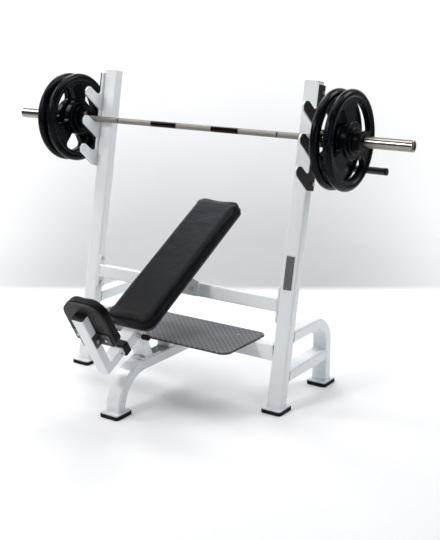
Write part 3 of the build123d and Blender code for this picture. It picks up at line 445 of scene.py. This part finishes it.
@dataclass(frozen=True)
class BarSteel:
    """Hard chrome on the bar: knurled grips with painted shade in their valleys, smooth bands painted near
    black as a painted dark reflection, and two ring marks.
    """

    name: str
    colour: Rgb
    dull: Rgb
    starts: int = 30
    pitch: float = 0.003
    centre: float = 0.1
    grip_from: float = 0.25
    grip_to: float = 0.64
    mark: float = 0.455
    mark_gap: float = 0.0025
    mark_half: float = 0.0035

    def paint(self) -> bpy.types.Material:
        """The finish as a material."""
        m = Maker(self.name)
        x, y, z = m.xyz()
        turn = (z - BAR_Z).math("ARCTAN2", y - BAR_Y) * float(self.starts)
        along = x * (2 * math.pi / self.pitch)
        teeth = (along + turn).sin() * (along - turn).sin()
        reach = abs(x)
        inner = reach.band(self.grip_from, self.mark - self.mark_gap)
        outer = reach.band(self.mark + self.mark_gap, self.grip_to)
        gripped = (reach < self.centre) + inner + outer
        plain = reach.band(self.centre, self.grip_from)
        ring = reach.band(self.mark - self.mark_half, self.mark + self.mark_half)
        smear = m.noise(40.0, 4.0, (0.3, 1.0, 1.0))
        # Painted shade in the knurl valleys.
        fill = gripped * (0.5 - teeth * 0.5)
        # Smooth bands painted near black: a painted dark reflection, not the steel's own colour.
        colour = m.blend(fill * 0.3 + plain * 0.95 + ring * 0.85 + smear * 0.12, self.colour, self.dull)
        rough = 0.17 + gripped * 0.25 + (smear - 0.5) * 0.1
        return m.close(
            base_color=colour,
            metallic=1.0,
            roughness=rough,
            normal=m.bump(teeth * gripped, 0.0003, 0.8),
        )


@dataclass(frozen=True)
class TurnedSteel:
    """Plated steel with faint turning lines round the bar and wiped patches."""

    name: str
    colour: Rgb
    dull: Rgb
    rough: float = 0.2
    pitch: float = 0.0016

    def paint(self) -> bpy.types.Material:
        """The finish as a material."""
        m = Maker(self.name)
        x = m.xyz()[0]
        lines = (x * (2 * math.pi / self.pitch)).sin()
        wiped = m.noise(30.0, 4.0)
        specks = m.noise(520.0, 2.0).ease(0.6, 0.72)
        colour = m.blend(wiped * 0.5 + specks * 0.3, self.colour, self.dull)
        rough = self.rough + (wiped - 0.5) * 0.16 + specks * 0.1
        return m.close(
            base_color=colour,
            metallic=1.0,
            roughness=rough,
            normal=m.bump(lines * 0.5 + wiped, 0.00008, 0.5),
        )


@dataclass(frozen=True)
class BoardFinish:
    """Black-stained plywood: long grain and open pores."""

    name: str
    colour: Rgb
    grain: Rgb

    def paint(self) -> bpy.types.Material:
        """The finish as a material."""
        m = Maker(self.name)
        fibre = m.noise(90.0, 6.0, (6.0, 0.5, 0.5), 0.6)
        ply = m.noise(300.0, 2.0, (0.1, 1.0, 1.0)).ease(0.45, 0.6)
        colour = m.blend(fibre.ease(0.45, 0.75) * 0.6 + ply * 0.25, self.colour, self.grain)
        return m.close(
            base_color=colour, roughness=0.6 + (fibre - 0.5) * 0.2, normal=m.bump(fibre, 0.0004, 0.5)
        )


@dataclass(frozen=True)
class PlainPlate:
    """Satin plate with a darker field inside a light border and no lettering."""

    name: str
    field: Rgb
    border: Rgb
    middle_x: float = 0.5699
    low: float = 0.558
    tall: float = 0.16
    wide: float = 0.05
    margin: float = 0.004

    def paint(self) -> bpy.types.Material:
        """The finish as a material."""
        m = Maker(self.name)
        x, y, z = m.xyz()
        rise = (y - FRONT_Y) * math.sin(LEAN) + z * math.cos(LEAN)
        inside = (abs(x - self.middle_x) < self.wide / 2 - self.margin) * rise.band(
            self.low + self.margin, self.low + self.tall - self.margin
        )
        brushed = m.noise(160.0, 4.0, (8.0, 1.0, 1.0))
        colour = m.blend(inside * (0.85 + brushed * 0.15), self.border, self.field)
        return m.close(
            base_color=colour,
            metallic=0.35,
            roughness=0.34 + (brushed - 0.5) * 0.15,
            normal=m.bump(inside * 0.6 + brushed * 0.1, 0.0003, 0.7),
        )


@dataclass(frozen=True)
class StudioFloor:
    """Pale seamless backdrop, a little uneven, with a band of painted shade behind the bench that fades
    upwards and to the sides.
    """

    name: str
    colour: Rgb
    shade: Rgb
    turn: float
    line: float = 1.60
    edge: float = 0.22
    climb: float = 1.6
    fade_from: float = 0.3
    fade_to: float = 9.0
    middle: float = 0.2
    near: float = 0.6
    far: float = 2.7

    def paint(self) -> bpy.types.Material:
        """The finish as a material."""
        m = Maker(self.name)
        x, y, z = m.xyz()
        back = y * math.cos(self.turn) - x * math.sin(self.turn)
        aside = x * math.cos(self.turn) + y * math.sin(self.turn)
        cloud = m.noise(1.3, 3.0)
        # Painted shade: a soft darker band on the paper behind the bench, starting at the line, fading
        # upwards and to the sides.
        fade = (back + z * self.climb).ease(self.line + self.fade_from, self.fade_to)
        past = back.ease(self.line, self.line + self.edge) * (1.0 - fade)
        painted_shade_band = past * (1.0 - abs(aside - self.middle).ease(self.near, self.far))
        return m.close(
            base_color=m.blend(painted_shade_band * 0.85 + cloud * 0.1, self.colour, self.shade),
            roughness=0.55 + (cloud - 0.5) * 0.1,
            normal=m.bump(m.noise(240.0, 3.0), 0.0001, 0.3),
        )


# The white coat's second colour is a bluish-grey painted shade tone, also used for its dust and rub marks.
WHITE = PowderCoat("white_powder_coat", (0.80, 0.825, 0.842), (0.52, 0.56, 0.61))
BLACK_PAINT = PowderCoat("black_powder_coat", (0.02, 0.021, 0.024), (0.06, 0.06, 0.065), 0.34, 0.3)
VINYL = Vinyl("black_vinyl", (0.0022, 0.0024, 0.0034), (0.0065, 0.007, 0.0095))
PIPING = Vinyl("vinyl_piping", (0.0022, 0.0022, 0.003), (0.008, 0.008, 0.010))
LINER = Moulded("rack_liner_plastic", (0.018, 0.014, 0.013), (0.050, 0.041, 0.038), 0.42)
PLASTIC = Moulded("satin_black_plastic", (0.005, 0.005, 0.006), (0.022, 0.022, 0.025), 0.4)
CAP_PLASTIC = Moulded("cap_plastic", (0.60, 0.62, 0.64), (0.46, 0.48, 0.51), 0.38)
FOOT_RUBBER = Moulded("foot_rubber", (0.006, 0.006, 0.0065), (0.028, 0.027, 0.026), 0.62, 0.0004, 500.0)
DISC = DiscRubber("disc_rubber", (0.0013, 0.0022, 0.0038), (0.007, 0.009, 0.0125))
# The mat's second colour is painted light on the lozenge tops and the lighter tone of trodden wear.
MAT = TreadMat("tread_mat", (0.085, 0.09, 0.10), (0.26, 0.275, 0.30))
# The bar's second colour is near black: painted dark reflection on the smooth bands and painted shade in
# the knurl valleys.
BAR = BarSteel("knurled_chrome", (0.34, 0.315, 0.275), (0.016, 0.012, 0.009))
SLEEVE = TurnedSteel("sleeve_chrome", (0.38, 0.35, 0.31), (0.11, 0.092, 0.076), 0.14)
COLLAR = Moulded("collar_black", (0.004, 0.0045, 0.0055), (0.020, 0.021, 0.024), 0.34)
ZINC = TurnedSteel("zinc_bolts", (0.60, 0.60, 0.58), (0.40, 0.39, 0.37), 0.34, 0.0009)
BOARD = BoardFinish("stained_plywood", (0.007, 0.0065, 0.006), (0.024, 0.021, 0.019))
PLATE = PlainPlate("plain_plate", (0.10, 0.105, 0.115), (0.74, 0.77, 0.80))


def painted(finish: Any) -> bpy.types.Material:
    """The finish's material, made the first time that it is asked for."""
    return bpy.data.materials.get(finish.name) or finish.paint()


# ---------------------------------------------------------------- surfaces


def grid_mesh(name: str, points: np.ndarray, wrap_u: bool = False, wrap_v: bool = True) -> bpy.types.Object:
    """A surface from a grid of points: each cell of four neighbours is one face.

    Args:
        name: The new piece's name.
        points: Places, shaped rows, columns, three.
        wrap_u: Whether the last row meets the first.
        wrap_v: Whether the last column meets the first.

    Returns:
        The piece.
    """
    rows, cols = points.shape[:2]
    number = np.arange(rows * cols).reshape(rows, cols)
    if wrap_u:
        number = np.vstack([number, number[:1]])
    if wrap_v:
        number = np.hstack([number, number[:, :1]])
    quads = np.stack([number[:-1, :-1], number[:-1, 1:], number[1:, 1:], number[1:, :-1]], axis=-1)
    mesh = bpy.data.meshes.new(name)
    mesh.from_pydata(points.reshape(-1, 3).tolist(), [], quads.reshape(-1, 4).tolist())
    return place(name, mesh)


def place(name: str, mesh: bpy.types.Mesh) -> bpy.types.Object:
    """Puts a mesh into the scene, smooth, with its faces outwards.

    Args:
        name: The piece's name.
        mesh: Its mesh, with every point already in place.

    Returns:
        The piece.
    """
    work = bmesh.new()
    work.from_mesh(mesh)
    bmesh.ops.recalc_face_normals(work, faces=work.faces[:])
    work.to_mesh(mesh)
    work.free()
    mesh.shade_smooth()
    made = bpy.data.objects.new(name, mesh)
    bpy.context.scene.collection.objects.link(made)
    return made


def round_loop(
    half: float, low: float, high: float, r_low: float, r_high: float, step: float
) -> np.ndarray:
    """Closed rectangle outline with rounded corners, in even steps.

    Formula: a quarter circle about each corner's centre; the straight sides join the quarters,
    and the whole is cut again into equal lengths.

    Args:
        half: Half width across the first axis.
        low: Lower end on the second axis.
        high: Upper end on the second axis.
        r_low: Corner radius at the lower end.
        r_high: Corner radius at the upper end.
        step: Wanted distance between points.

    Returns:
        Points, shaped count, two, anticlockwise.
    """
    quarter = np.linspace(0.0, math.pi / 2, 17)
    corners = [
        (half - r_low, low + r_low, r_low, -math.pi / 2),
        (half - r_high, high - r_high, r_high, 0.0),
        (r_high - half, high - r_high, r_high, math.pi / 2),
        (r_low - half, low + r_low, r_low, math.pi),
    ]
    arcs = [
        np.column_stack([cu + r * np.cos(start + quarter), cv + r * np.sin(start + quarter)])
        for cu, cv, r, start in corners
    ]
    path = np.vstack([*arcs, arcs[0][:1]])
    gone = np.concatenate([[0.0], np.cumsum(np.linalg.norm(np.diff(path, axis=0), axis=1))])
    count = max(24, int(gone[-1] / step))
    at = np.linspace(0.0, gone[-1], count, endpoint=False)
    return np.column_stack([np.interp(at, gone, path[:, 0]), np.interp(at, gone, path[:, 1])])


def rope(path: np.ndarray, up: np.ndarray, radius: np.ndarray, sides: int = 10) -> np.ndarray:
    """Round tube along a closed path that lies in one plane.

    Formula: each path point plus radius times (cosine of the turn along the plane's normal plus
    sine of the turn along the normal crossed with the path's direction).

    Args:
        path: Points of the closed path.
        up: Unit normal of the path's plane.
        radius: Tube radius at each point.
        sides: Points round the tube.

    Returns:
        Grid of points for grid_mesh.
    """
    ahead = np.roll(path, -1, axis=0) - np.roll(path, 1, axis=0)
    ahead /= np.linalg.norm(ahead, axis=1, keepdims=True)
    side = np.cross(ahead, up)
    turn = np.linspace(0.0, 2 * math.pi, sides, endpoint=False)
    ring = np.cos(turn)[None, :, None] * up + np.sin(turn)[None, :, None] * side[:, None, :]
    return path[:, None, :] + radius[:, None, None] * ring


# ---------------------------------------------------------------- sub-assemblies


@dataclass
class Dressing:
    """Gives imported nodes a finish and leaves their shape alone."""

    nodes: Mapping[str, bpy.types.Object]

    def dress(self, finish: Any, *names: str) -> None:
        """Puts one finish on several nodes.

        Args:
            finish: The finish, whose paint method makes the material.
            names: The nodes.
        """
        material = painted(finish)
        for name in names:
            mesh = self.nodes[name].data
            mesh.materials.clear()
            mesh.materials.append(material)
            LOG.info("dressed %s in %s", name, finish.name)


@dataclass
class TubeFrame(Dressing):
    """Uprights, legs, cross tubes, spine, post, rail and their weld beads."""

    tube_w: float = 0.0762
    tube_d: float = 0.0508
    corner: float = 0.008
    upright_x: float = 0.5699
    foot_top: float = 0.022
    rear_y: float = 0.45
    run_z: float = 0.333
    brace_z: float = 0.157
    spine_z: float = 0.1974
    bead: float = 0.0026
    ripple: float = 0.0034
    swell: float = 0.14
    step: float = 0.0018
    flange_t: float = 0.008
    cross_h: float = 0.0635
    low_cross_back: float = 0.0774
    low_cross_up: float = 0.0635
    high_cross_up: float = 0.487
    front_leg: float = 0.4175
    post_tilt: float = 24.0
    post_foot: float = 0.2125
    post_base: float = 0.0314
    rail_under: float = 0.426
    riser_foot: float = 0.0366

    def build(self) -> None:
        """Dresses the tubes and adds the beads."""
        sides = [s.word for s in Side]
        pairs = ("upright", "rear_leg", "side_brace", "cross_flange", "hook_plate")
        self.dress(WHITE, *[f"{p}_{s}" for p in pairs for s in sides])
        tubes = ("upper_cross_tube", "lower_cross_tube", "spine_tube", "pad_post", "pad_rail")
        plates = ("post_base_plate", "rail_bracket", "platform_riser", "foot_plates", "horn_bracket")
        self.dress(WHITE, *tubes, *plates)
        self.dress(LINER, "hook_liner_left", "hook_liner_right")
        self.dress(CAP_PLASTIC, "upright_caps")
        self.dress(PLASTIC, "pad_rail_cap", "rail_bushing", "horn_cap")
        self.dress(FOOT_RUBBER, "foot_pads")
        self.dress(BLACK_PAINT, "horn_tube")
        self.dress(PLATE, "blank_badge")
        bolts = ("cross_flange_bolts", "post_base_bolts", "rail_bracket_bolts", "back_pad_bolts")
        self.dress(ZINC, *bolts, "hook_bolts", "pin_barrel")
        self.weld()

    def seam(
        self, foot: Sequence[float], axes: np.ndarray, size: Sequence[float], plane: np.ndarray
    ) -> np.ndarray:
        """One bead where a rectangular tube runs into a flat face.

        Formula: the tube's rounded outline, each point slid along the tube's own axis until it lies
        in the face; the bead's radius swells and shrinks with a sine along the path.

        Args:
            foot: A point on the tube's centre line.
            axes: Rows: the outline's first axis, its second axis and the tube's axis.
            size: Outline's full width and depth.
            plane: Rows: a point of the face and its normal.

        Returns:
            Grid of points for grid_mesh.
        """
        loop = round_loop(size[0] / 2, -size[1] / 2, size[1] / 2, self.corner, self.corner, self.step)
        flat = np.asarray(foot) + loop[:, :1] * axes[0] + loop[:, 1:] * axes[1]
        normal = plane[1] / np.linalg.norm(plane[1])
        slide = ((plane[0] - flat) @ normal) / (axes[2] @ normal)
        path = flat + slide[:, None] * axes[2]
        gone = np.arange(len(path)) * self.step
        radius = self.bead * (1.0 + self.swell * np.sin(2 * math.pi * gone / self.ripple))
        return rope(path, normal, radius, 8)

    def weld(self) -> None:
        """Adds every bead of the frame as one piece."""
        x_axis, y_axis, z_axis = np.eye(3)
        lean = np.array([0.0, math.sin(LEAN), math.cos(LEAN)])
        back = np.array([0.0, math.cos(LEAN), -math.sin(LEAN)])
        face = np.array([0.0, FRONT_Y, 0.0]) + back * self.tube_d
        size = (self.tube_w, self.tube_d)
        floor = np.array([[0.0, 0.0, self.foot_top], z_axis])
        seams = []
        rear = FRONT_Y + self.rear_y
        level = np.array([x_axis, z_axis, y_axis])
        for side in Side:
            x = side.value * self.upright_x
            middle = np.array([x, FRONT_Y, 0.0]) + back * self.tube_d / 2
            seams.append(self.seam(middle, np.array([x_axis, back, lean]), size, floor))
            seams.append(self.seam((x, rear, 0.0), np.eye(3), size, floor))
            for z in (self.run_z, self.brace_z):
                seams.append(self.seam((x, 0.0, z), level, size, np.array([face, back])))
            front = np.array([[0.0, rear - self.tube_d / 2, 0.0], y_axis])
            seams.append(self.seam((x, 0.0, self.brace_z), level, size, front))
            inner = np.array([[side.value * (self.upright_x - self.tube_w / 2), 0.0, 0.0], x_axis])
            low = (0.0, FRONT_Y + self.low_cross_back, self.spine_z + self.low_cross_up)
            across = np.array([y_axis, z_axis, x_axis])
            seams.append(self.seam(low, across, (self.tube_d, self.tube_w), inner))
            flange = inner.copy()
            flange[0, 0] -= side.value * self.flange_t
            high = np.array([0.0, FRONT_Y, 0.0]) + lean * self.high_cross_up + back * self.tube_d / 2
            upper = np.array([back, lean, x_axis])
            seams.append(self.seam(high, upper, (self.tube_d, self.cross_h), flange))
        seams.append(self.seam((0.0, FRONT_Y - self.front_leg, 0.0), np.eye(3), size, floor))
        tilt = math.radians(self.post_tilt)
        post = np.array([0.0, -math.sin(tilt), math.cos(tilt)])
        post_back = np.array([0.0, math.cos(tilt), math.sin(tilt)])
        base = (0.0, FRONT_Y - self.post_foot, self.spine_z + self.post_base)
        under = np.array([0.0, -math.sin(SLOPE), math.cos(SLOPE)])
        rail = np.array([np.array([0.0, FRONT_Y, 0.0]) + under * self.rail_under, under])
        post_axes = np.array([x_axis, post_back, post])
        seams.append(self.seam(base, post_axes, size, np.array([base, z_axis])))
        seams.append(self.seam(base, post_axes, size, rail))
        riser = (0.0, FRONT_Y - self.riser_foot, self.spine_z + self.tube_d / 2)
        seams.append(self.seam(riser, np.eye(3), size, np.array([riser, z_axis])))
        beads = [grid_mesh(f"bead_{i}", grid, wrap_u=True) for i, grid in enumerate(seams)]
        made = join("frame_welds", beads)
        made.data.materials.append(painted(WHITE))
        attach(made, "bench")
        LOG.info("built frame_welds from %d beads", len(beads))


def join(name: str, pieces: Sequence[bpy.types.Object]) -> bpy.types.Object:
    """Several pieces as one mesh.

    Args:
        name: The joined piece's name.
        pieces: What goes into it; they are removed.

    Returns:
        The joined piece.
    """
    work = bmesh.new()
    for piece in pieces:
        work.from_mesh(piece.data)
    mesh = bpy.data.meshes.new(name)
    work.to_mesh(mesh)
    work.free()
    for piece in pieces:
        bpy.data.objects.remove(piece)
    return place(name, mesh)


@dataclass
class Pad:
    """One foam pad in sewn vinyl, crowned by its own filling, with a piped seam."""

    node: str
    name: str
    body: str
    along: tuple[float, float, float]
    out: tuple[float, float, float]
    r_low: float
    r_high: float
    shrink: float = 0.0035
    cap: float = 0.006
    ease: float = 0.6
    voxel: float = 0.005
    piping: float = 0.0024
    seam_up: float = 0.004
    off_board: float = 0.0003
    pressure: float = 3.0
    steps: int = 20
    calm_rounds: int = 9

    def build(self, nodes: Mapping[str, bpy.types.Object]) -> None:
        """Makes the cushion and its piping.

        Args:
            nodes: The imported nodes.
        """
        source = nodes[self.node].data
        points = np.empty(len(source.vertices) * 3)
        source.vertices.foreach_get("co", points)
        axes = np.array([(1.0, 0.0, 0.0), self.along, self.out])
        local = points.reshape(-1, 3) @ axes.T
        low, high = local.min(axis=0), local.max(axis=0)
        cushion = self.cushion(source, axes, low, high)
        cushion.data.materials.clear()
        cushion.data.materials.append(painted(VINYL))
        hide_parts(self.node)
        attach(cushion, self.body)
        self.pipe(axes, low, high)
        LOG.info("built %s", self.name)

    def cushion(self, source: bpy.types.Mesh, axes: np.ndarray, low: np.ndarray, high: np.ndarray) -> Any:
        """The filled cover, blown out a little by cloth simulation and then smoothed.

        Formula: the pad's solid is drawn in by the shrink, cut into even cells, blown out by pressure
        with its back held to the board, and no point may move further than the cap.

        Args:
            source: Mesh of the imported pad.
            axes: Rows: the pad's width, length and outward directions.
            low: Lowest corner in those axes.
            high: Highest corner in those axes.

        Returns:
            The cushion.
        """
        mesh = source.copy()
        work = bmesh.new()
        work.from_mesh(mesh)
        bmesh.ops.remove_doubles(work, verts=work.verts[:], dist=1e-5)
        work.to_mesh(mesh)
        work.free()
        made = place(self.name, mesh)
        spot = read_points(mesh) @ axes.T
        middle = (low + high) / 2
        middle[2] = low[2]
        size = high - low
        factor = 1.0 - np.array([2.0, 2.0, 1.0]) * self.shrink / size
        write_points(mesh, (middle + (spot - middle) * factor) @ axes)
        remesh = made.modifiers.new("cells", "REMESH")
        remesh.mode = "VOXEL"
        remesh.voxel_size = self.voxel
        remesh.use_smooth_shade = True
        bake(made)
        self.blow(made, axes, low)
        calm = made.modifiers.new("calm", "SMOOTH")
        calm.factor = 0.5
        calm.iterations = self.calm_rounds
        bake(made)
        grown = made.modifiers.new("finer", "SUBSURF")
        grown.levels = 1
        grown.render_levels = 1
        bake(made)
        spot = read_points(made.data) @ axes.T
        spot[:, 2] = np.maximum(spot[:, 2], low[2] + self.off_board)
        write_points(made.data, spot @ axes)
        made.data.shade_smooth()
        return made

    def blow(self, made: bpy.types.Object, axes: np.ndarray, low: np.ndarray) -> None:
        """Runs the cloth simulation on the cover and keeps its last shape.

        Args:
            made: The cover.
            axes: The pad's directions.
            low: Lowest corner in those directions.
        """
        rest = read_points(made.data)
        back = np.flatnonzero((rest @ axes.T)[:, 2] < low[2] + self.voxel)
        held = made.vertex_groups.new(name="held")
        held.add([int(i) for i in back], 1.0, "REPLACE")
        cloth = made.modifiers.new("cover", "CLOTH")
        cloth.settings.quality = 5
        cloth.settings.mass = 0.3
        cloth.settings.tension_stiffness = 12.0
        cloth.settings.compression_stiffness = 12.0
        cloth.settings.bending_stiffness = 0.8
        cloth.settings.vertex_group_mass = "held"
        cloth.settings.use_pressure = True
        cloth.settings.uniform_pressure_force = self.pressure
        cloth.settings.effector_weights.gravity = 0.0
        cloth.point_cache.frame_start = 1
        cloth.point_cache.frame_end = self.steps
        scene = bpy.context.scene
        for step in range(1, self.steps + 1):
            scene.frame_set(step)
        graph = bpy.context.evaluated_depsgraph_get()
        blown = read_points(made.evaluated_get(graph).data)
        made.modifiers.remove(cloth)
        made.vertex_groups.clear()
        scene.frame_set(1)
        moved = blown - rest
        length = np.linalg.norm(moved, axis=1, keepdims=True)
        share = np.minimum(self.ease, self.cap / np.maximum(length, 1e-9))
        write_points(made.data, rest + moved * share)

    def pipe(self, axes: np.ndarray, low: np.ndarray, high: np.ndarray) -> None:
        """Adds the piping round the pad's back edge.

        Args:
            axes: The pad's directions.
            low: Lowest corner in those directions.
            high: Highest corner in those directions.
        """
        half = (high[0] - low[0]) / 2 - self.shrink
        loop = round_loop(
            half, low[1] + self.shrink, high[1] - self.shrink, self.r_low, self.r_high, 0.003
        )
        height = low[2] + self.seam_up
        path = loop[:, :1] * axes[0] + loop[:, 1:] * axes[1] + height * axes[2]
        stitch = 1.0 + 0.08 * np.sin(np.arange(len(path)) * 2.1)
        made = grid_mesh(f"{self.name}_piping", rope(path, axes[2], self.piping * stitch), wrap_u=True)
        made.data.materials.append(painted(PIPING))
        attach(made, self.body)


def read_points(mesh: bpy.types.Mesh) -> np.ndarray:
    """A mesh's points, shaped count, three."""
    flat = np.empty(len(mesh.vertices) * 3)
    mesh.vertices.foreach_get("co", flat)
    return flat.reshape(-1, 3)


def write_points(mesh: bpy.types.Mesh, points: np.ndarray) -> None:
    """Moves a mesh's points."""
    mesh.vertices.foreach_set("co", points.astype(np.float32).ravel())
    mesh.update()


def bake(made: bpy.types.Object) -> None:
    """Turns a piece's modifiers into its mesh.

    Args:
        made: The piece.
    """
    graph = bpy.context.evaluated_depsgraph_get()
    mesh = bpy.data.meshes.new_from_object(made.evaluated_get(graph))
    made.modifiers.clear()
    made.data = mesh


@dataclass
class SeatCarriage(Dressing):
    """Sliding seat: tube, arm, angles, board, pad and pull pin."""

    def build(self) -> None:
        """Dresses the carriage and the pin."""
        self.dress(WHITE, "seat_slide_tube", "seat_arm")
        self.dress(PLASTIC, "seat_arm_cap", "pin_knob")
        self.dress(BLACK_PAINT, "seat_angles")
        self.dress(ZINC, "seat_bolts", "pull_pin")
        self.dress(BOARD, "seat_board", "back_board")


@dataclass
class Platform(Dressing):
    """Spotter platform: steel plate, tread mat and bolts."""

    def build(self) -> None:
        """Dresses the platform."""
        self.dress(BLACK_PAINT, "platform_plate")
        self.dress(MAT, "platform_mat")
        self.dress(ZINC, "platform_bolts")


@dataclass
class LoadedBar(Dressing):
    """Bar, sleeves, discs and clamps."""

    def build(self) -> None:
        """Dresses the bar and what is on it."""
        self.dress(BAR, "bar_shaft")
        for side in Side:
            self.dress(SLEEVE, f"bar_sleeve_{side.word}")
            self.dress(DISC, f"disc_inner_{side.word}", f"disc_outer_{side.word}")
            self.dress(COLLAR, f"clamp_ring_{side.word}")
            self.dress(PLASTIC, f"clamp_lever_{side.word}")


@dataclass
class Lamp:
    """One soft rectangular light."""

    name: str
    spot: Rgb
    aim: Rgb
    wide: float
    tall: float
    watts: float
    colour: Rgb = (1.0, 1.0, 1.0)

    def light(self) -> None:
        """Hangs the lamp."""
        data = bpy.data.lights.new(self.name, "AREA")
        data.shape = "RECTANGLE"
        data.size = self.wide
        data.size_y = self.tall
        data.energy = self.watts
        data.color = self.colour
        lamp = bpy.data.objects.new(self.name, data)
        way = np.subtract(self.aim, self.spot)
        flat = math.hypot(way[0], way[1])
        lamp.location = self.spot
        lamp.rotation_euler = (math.atan2(flat, -way[2]), 0.0, math.atan2(-way[0], way[1]))
        bpy.context.scene.collection.objects.link(lamp)


@dataclass
class Studio:
    """Seamless backdrop, lamps and camera."""

    eye: Rgb = (2.7266, -3.5192, 1.815)
    yaw: float = 34.23
    pitch: float = 15.31
    lens: float = 66.57
    sweep_r: float = 2.0
    sweep_back: float = 3.4
    run: tuple[float, ...] = (-14.0, -4.0, 0.0, 2.0, 3.0)
    wall_top: float = 9.0
    half_width: float = 16.0
    sky: Rgb = (0.86, 0.91, 1.0)
    sky_strength: float = 0.16

    def build(self) -> None:
        """Sets up the whole studio."""
        self.backdrop()
        world = bpy.data.worlds.new("studio")
        world.use_nodes = True
        sky = world.node_tree.nodes["Background"]
        sky.inputs["Color"].default_value = (*self.sky, 1.0)
        sky.inputs["Strength"].default_value = self.sky_strength
        bpy.context.scene.world = world
        middle = (0.0, 0.0, 0.7)
        wall = (-2.6, 4.0, 1.6)
        lamps = (
            Lamp("key", (-1.6, -4.4, 4.4), middle, 1.5, 1.5, 150.0, (1.0, 0.99, 0.97)),
            Lamp("overhead", (0.0, 0.4, 4.8), middle, 4.0, 2.4, 84.0),
            Lamp("sheen", (-2.5, 2.5, 4.4), (0.0, 0.7, 1.0), 1.1, 1.1, 46.0, (0.82, 0.92, 1.0)),
            Lamp("fill", (4.6, -1.6, 2.0), middle, 1.4, 3.0, 26.0, (0.9, 0.95, 1.0)),
            Lamp("backdrop_left", (-3.8, -0.6, 4.2), wall, 2.4, 2.4, 150.0),
            Lamp("backdrop_right", (2.6, 3.4, 4.2), wall, 2.4, 2.4, 150.0),
        )
        for lamp in lamps:
            lamp.light()
        data = bpy.data.cameras.new("camera")
        data.lens = self.lens
        data.sensor_width = 36.0
        data.clip_end = 60.0
        camera = bpy.data.objects.new("camera", data)
        camera.location = self.eye
        camera.rotation_euler = (math.radians(90.0 - self.pitch), 0.0, math.radians(self.yaw))
        bpy.context.scene.collection.objects.link(camera)
        bpy.context.scene.camera = camera
        bpy.context.scene.view_settings.view_transform = "Standard"
        LOG.info("studio ready")

    def backdrop(self) -> None:
        """Floor that turns up into a wall behind the bench.

        Formula: a level run, a quarter circle of the sweep radius, and a plumb rise, carried
        sideways and turned to face the camera.
        """
        quarter = np.linspace(0.0, math.pi / 2, 25)
        bend = self.sweep_back + self.sweep_r * np.sin(quarter)
        bend_z = self.sweep_r * (1.0 - np.cos(quarter))
        run = np.concatenate([self.run, bend, [bend[-1]]])
        rise = np.concatenate([[0.0] * len(self.run), bend_z, [self.wall_top]])
        across = np.linspace(-self.half_width, self.half_width, 5)
        grid = np.empty((len(run), len(across), 3))
        turn = math.radians(self.yaw)
        grid[..., 0] = across[None, :] * math.cos(turn) - run[:, None] * math.sin(turn)
        grid[..., 1] = across[None, :] * math.sin(turn) + run[:, None] * math.cos(turn)
        grid[..., 2] = rise[:, None]
        floor = grid_mesh("studio_floor", grid, wrap_v=False)
        # The second colour is the painted shade of the band behind the bench.
        paper = StudioFloor("studio_paper", (0.93, 0.93, 0.93), (0.34, 0.34, 0.35), turn)
        floor.data.materials.append(paper.paint())


def main() -> None:
    """Builds the looks of the whole bench."""
    logging.basicConfig(level=logging.INFO, format="%(name)s: %(message)s")
    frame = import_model()
    nodes = frame["nodes"]
    TubeFrame(nodes).build()
    SeatCarriage(nodes).build()
    Platform(nodes).build()
    LoadedBar(nodes).build()
    up_rail = (0.0, math.cos(SLOPE), math.sin(SLOPE))
    off_rail = (0.0, -math.sin(SLOPE), math.cos(SLOPE))
    down_seat = (0.0, math.sin(SLOPE), -math.cos(SLOPE))
    Pad("back_pad", "back_cushion", "bench", up_rail, off_rail, r_low=0.042, r_high=0.042).build(nodes)
    seat = Pad("seat_pad", "seat_cushion", "seat_carriage", down_seat, up_rail, r_low=0.080, r_high=0.022)
    seat.build(nodes)
    Studio().build()


if __name__ == "__main__":
    main()
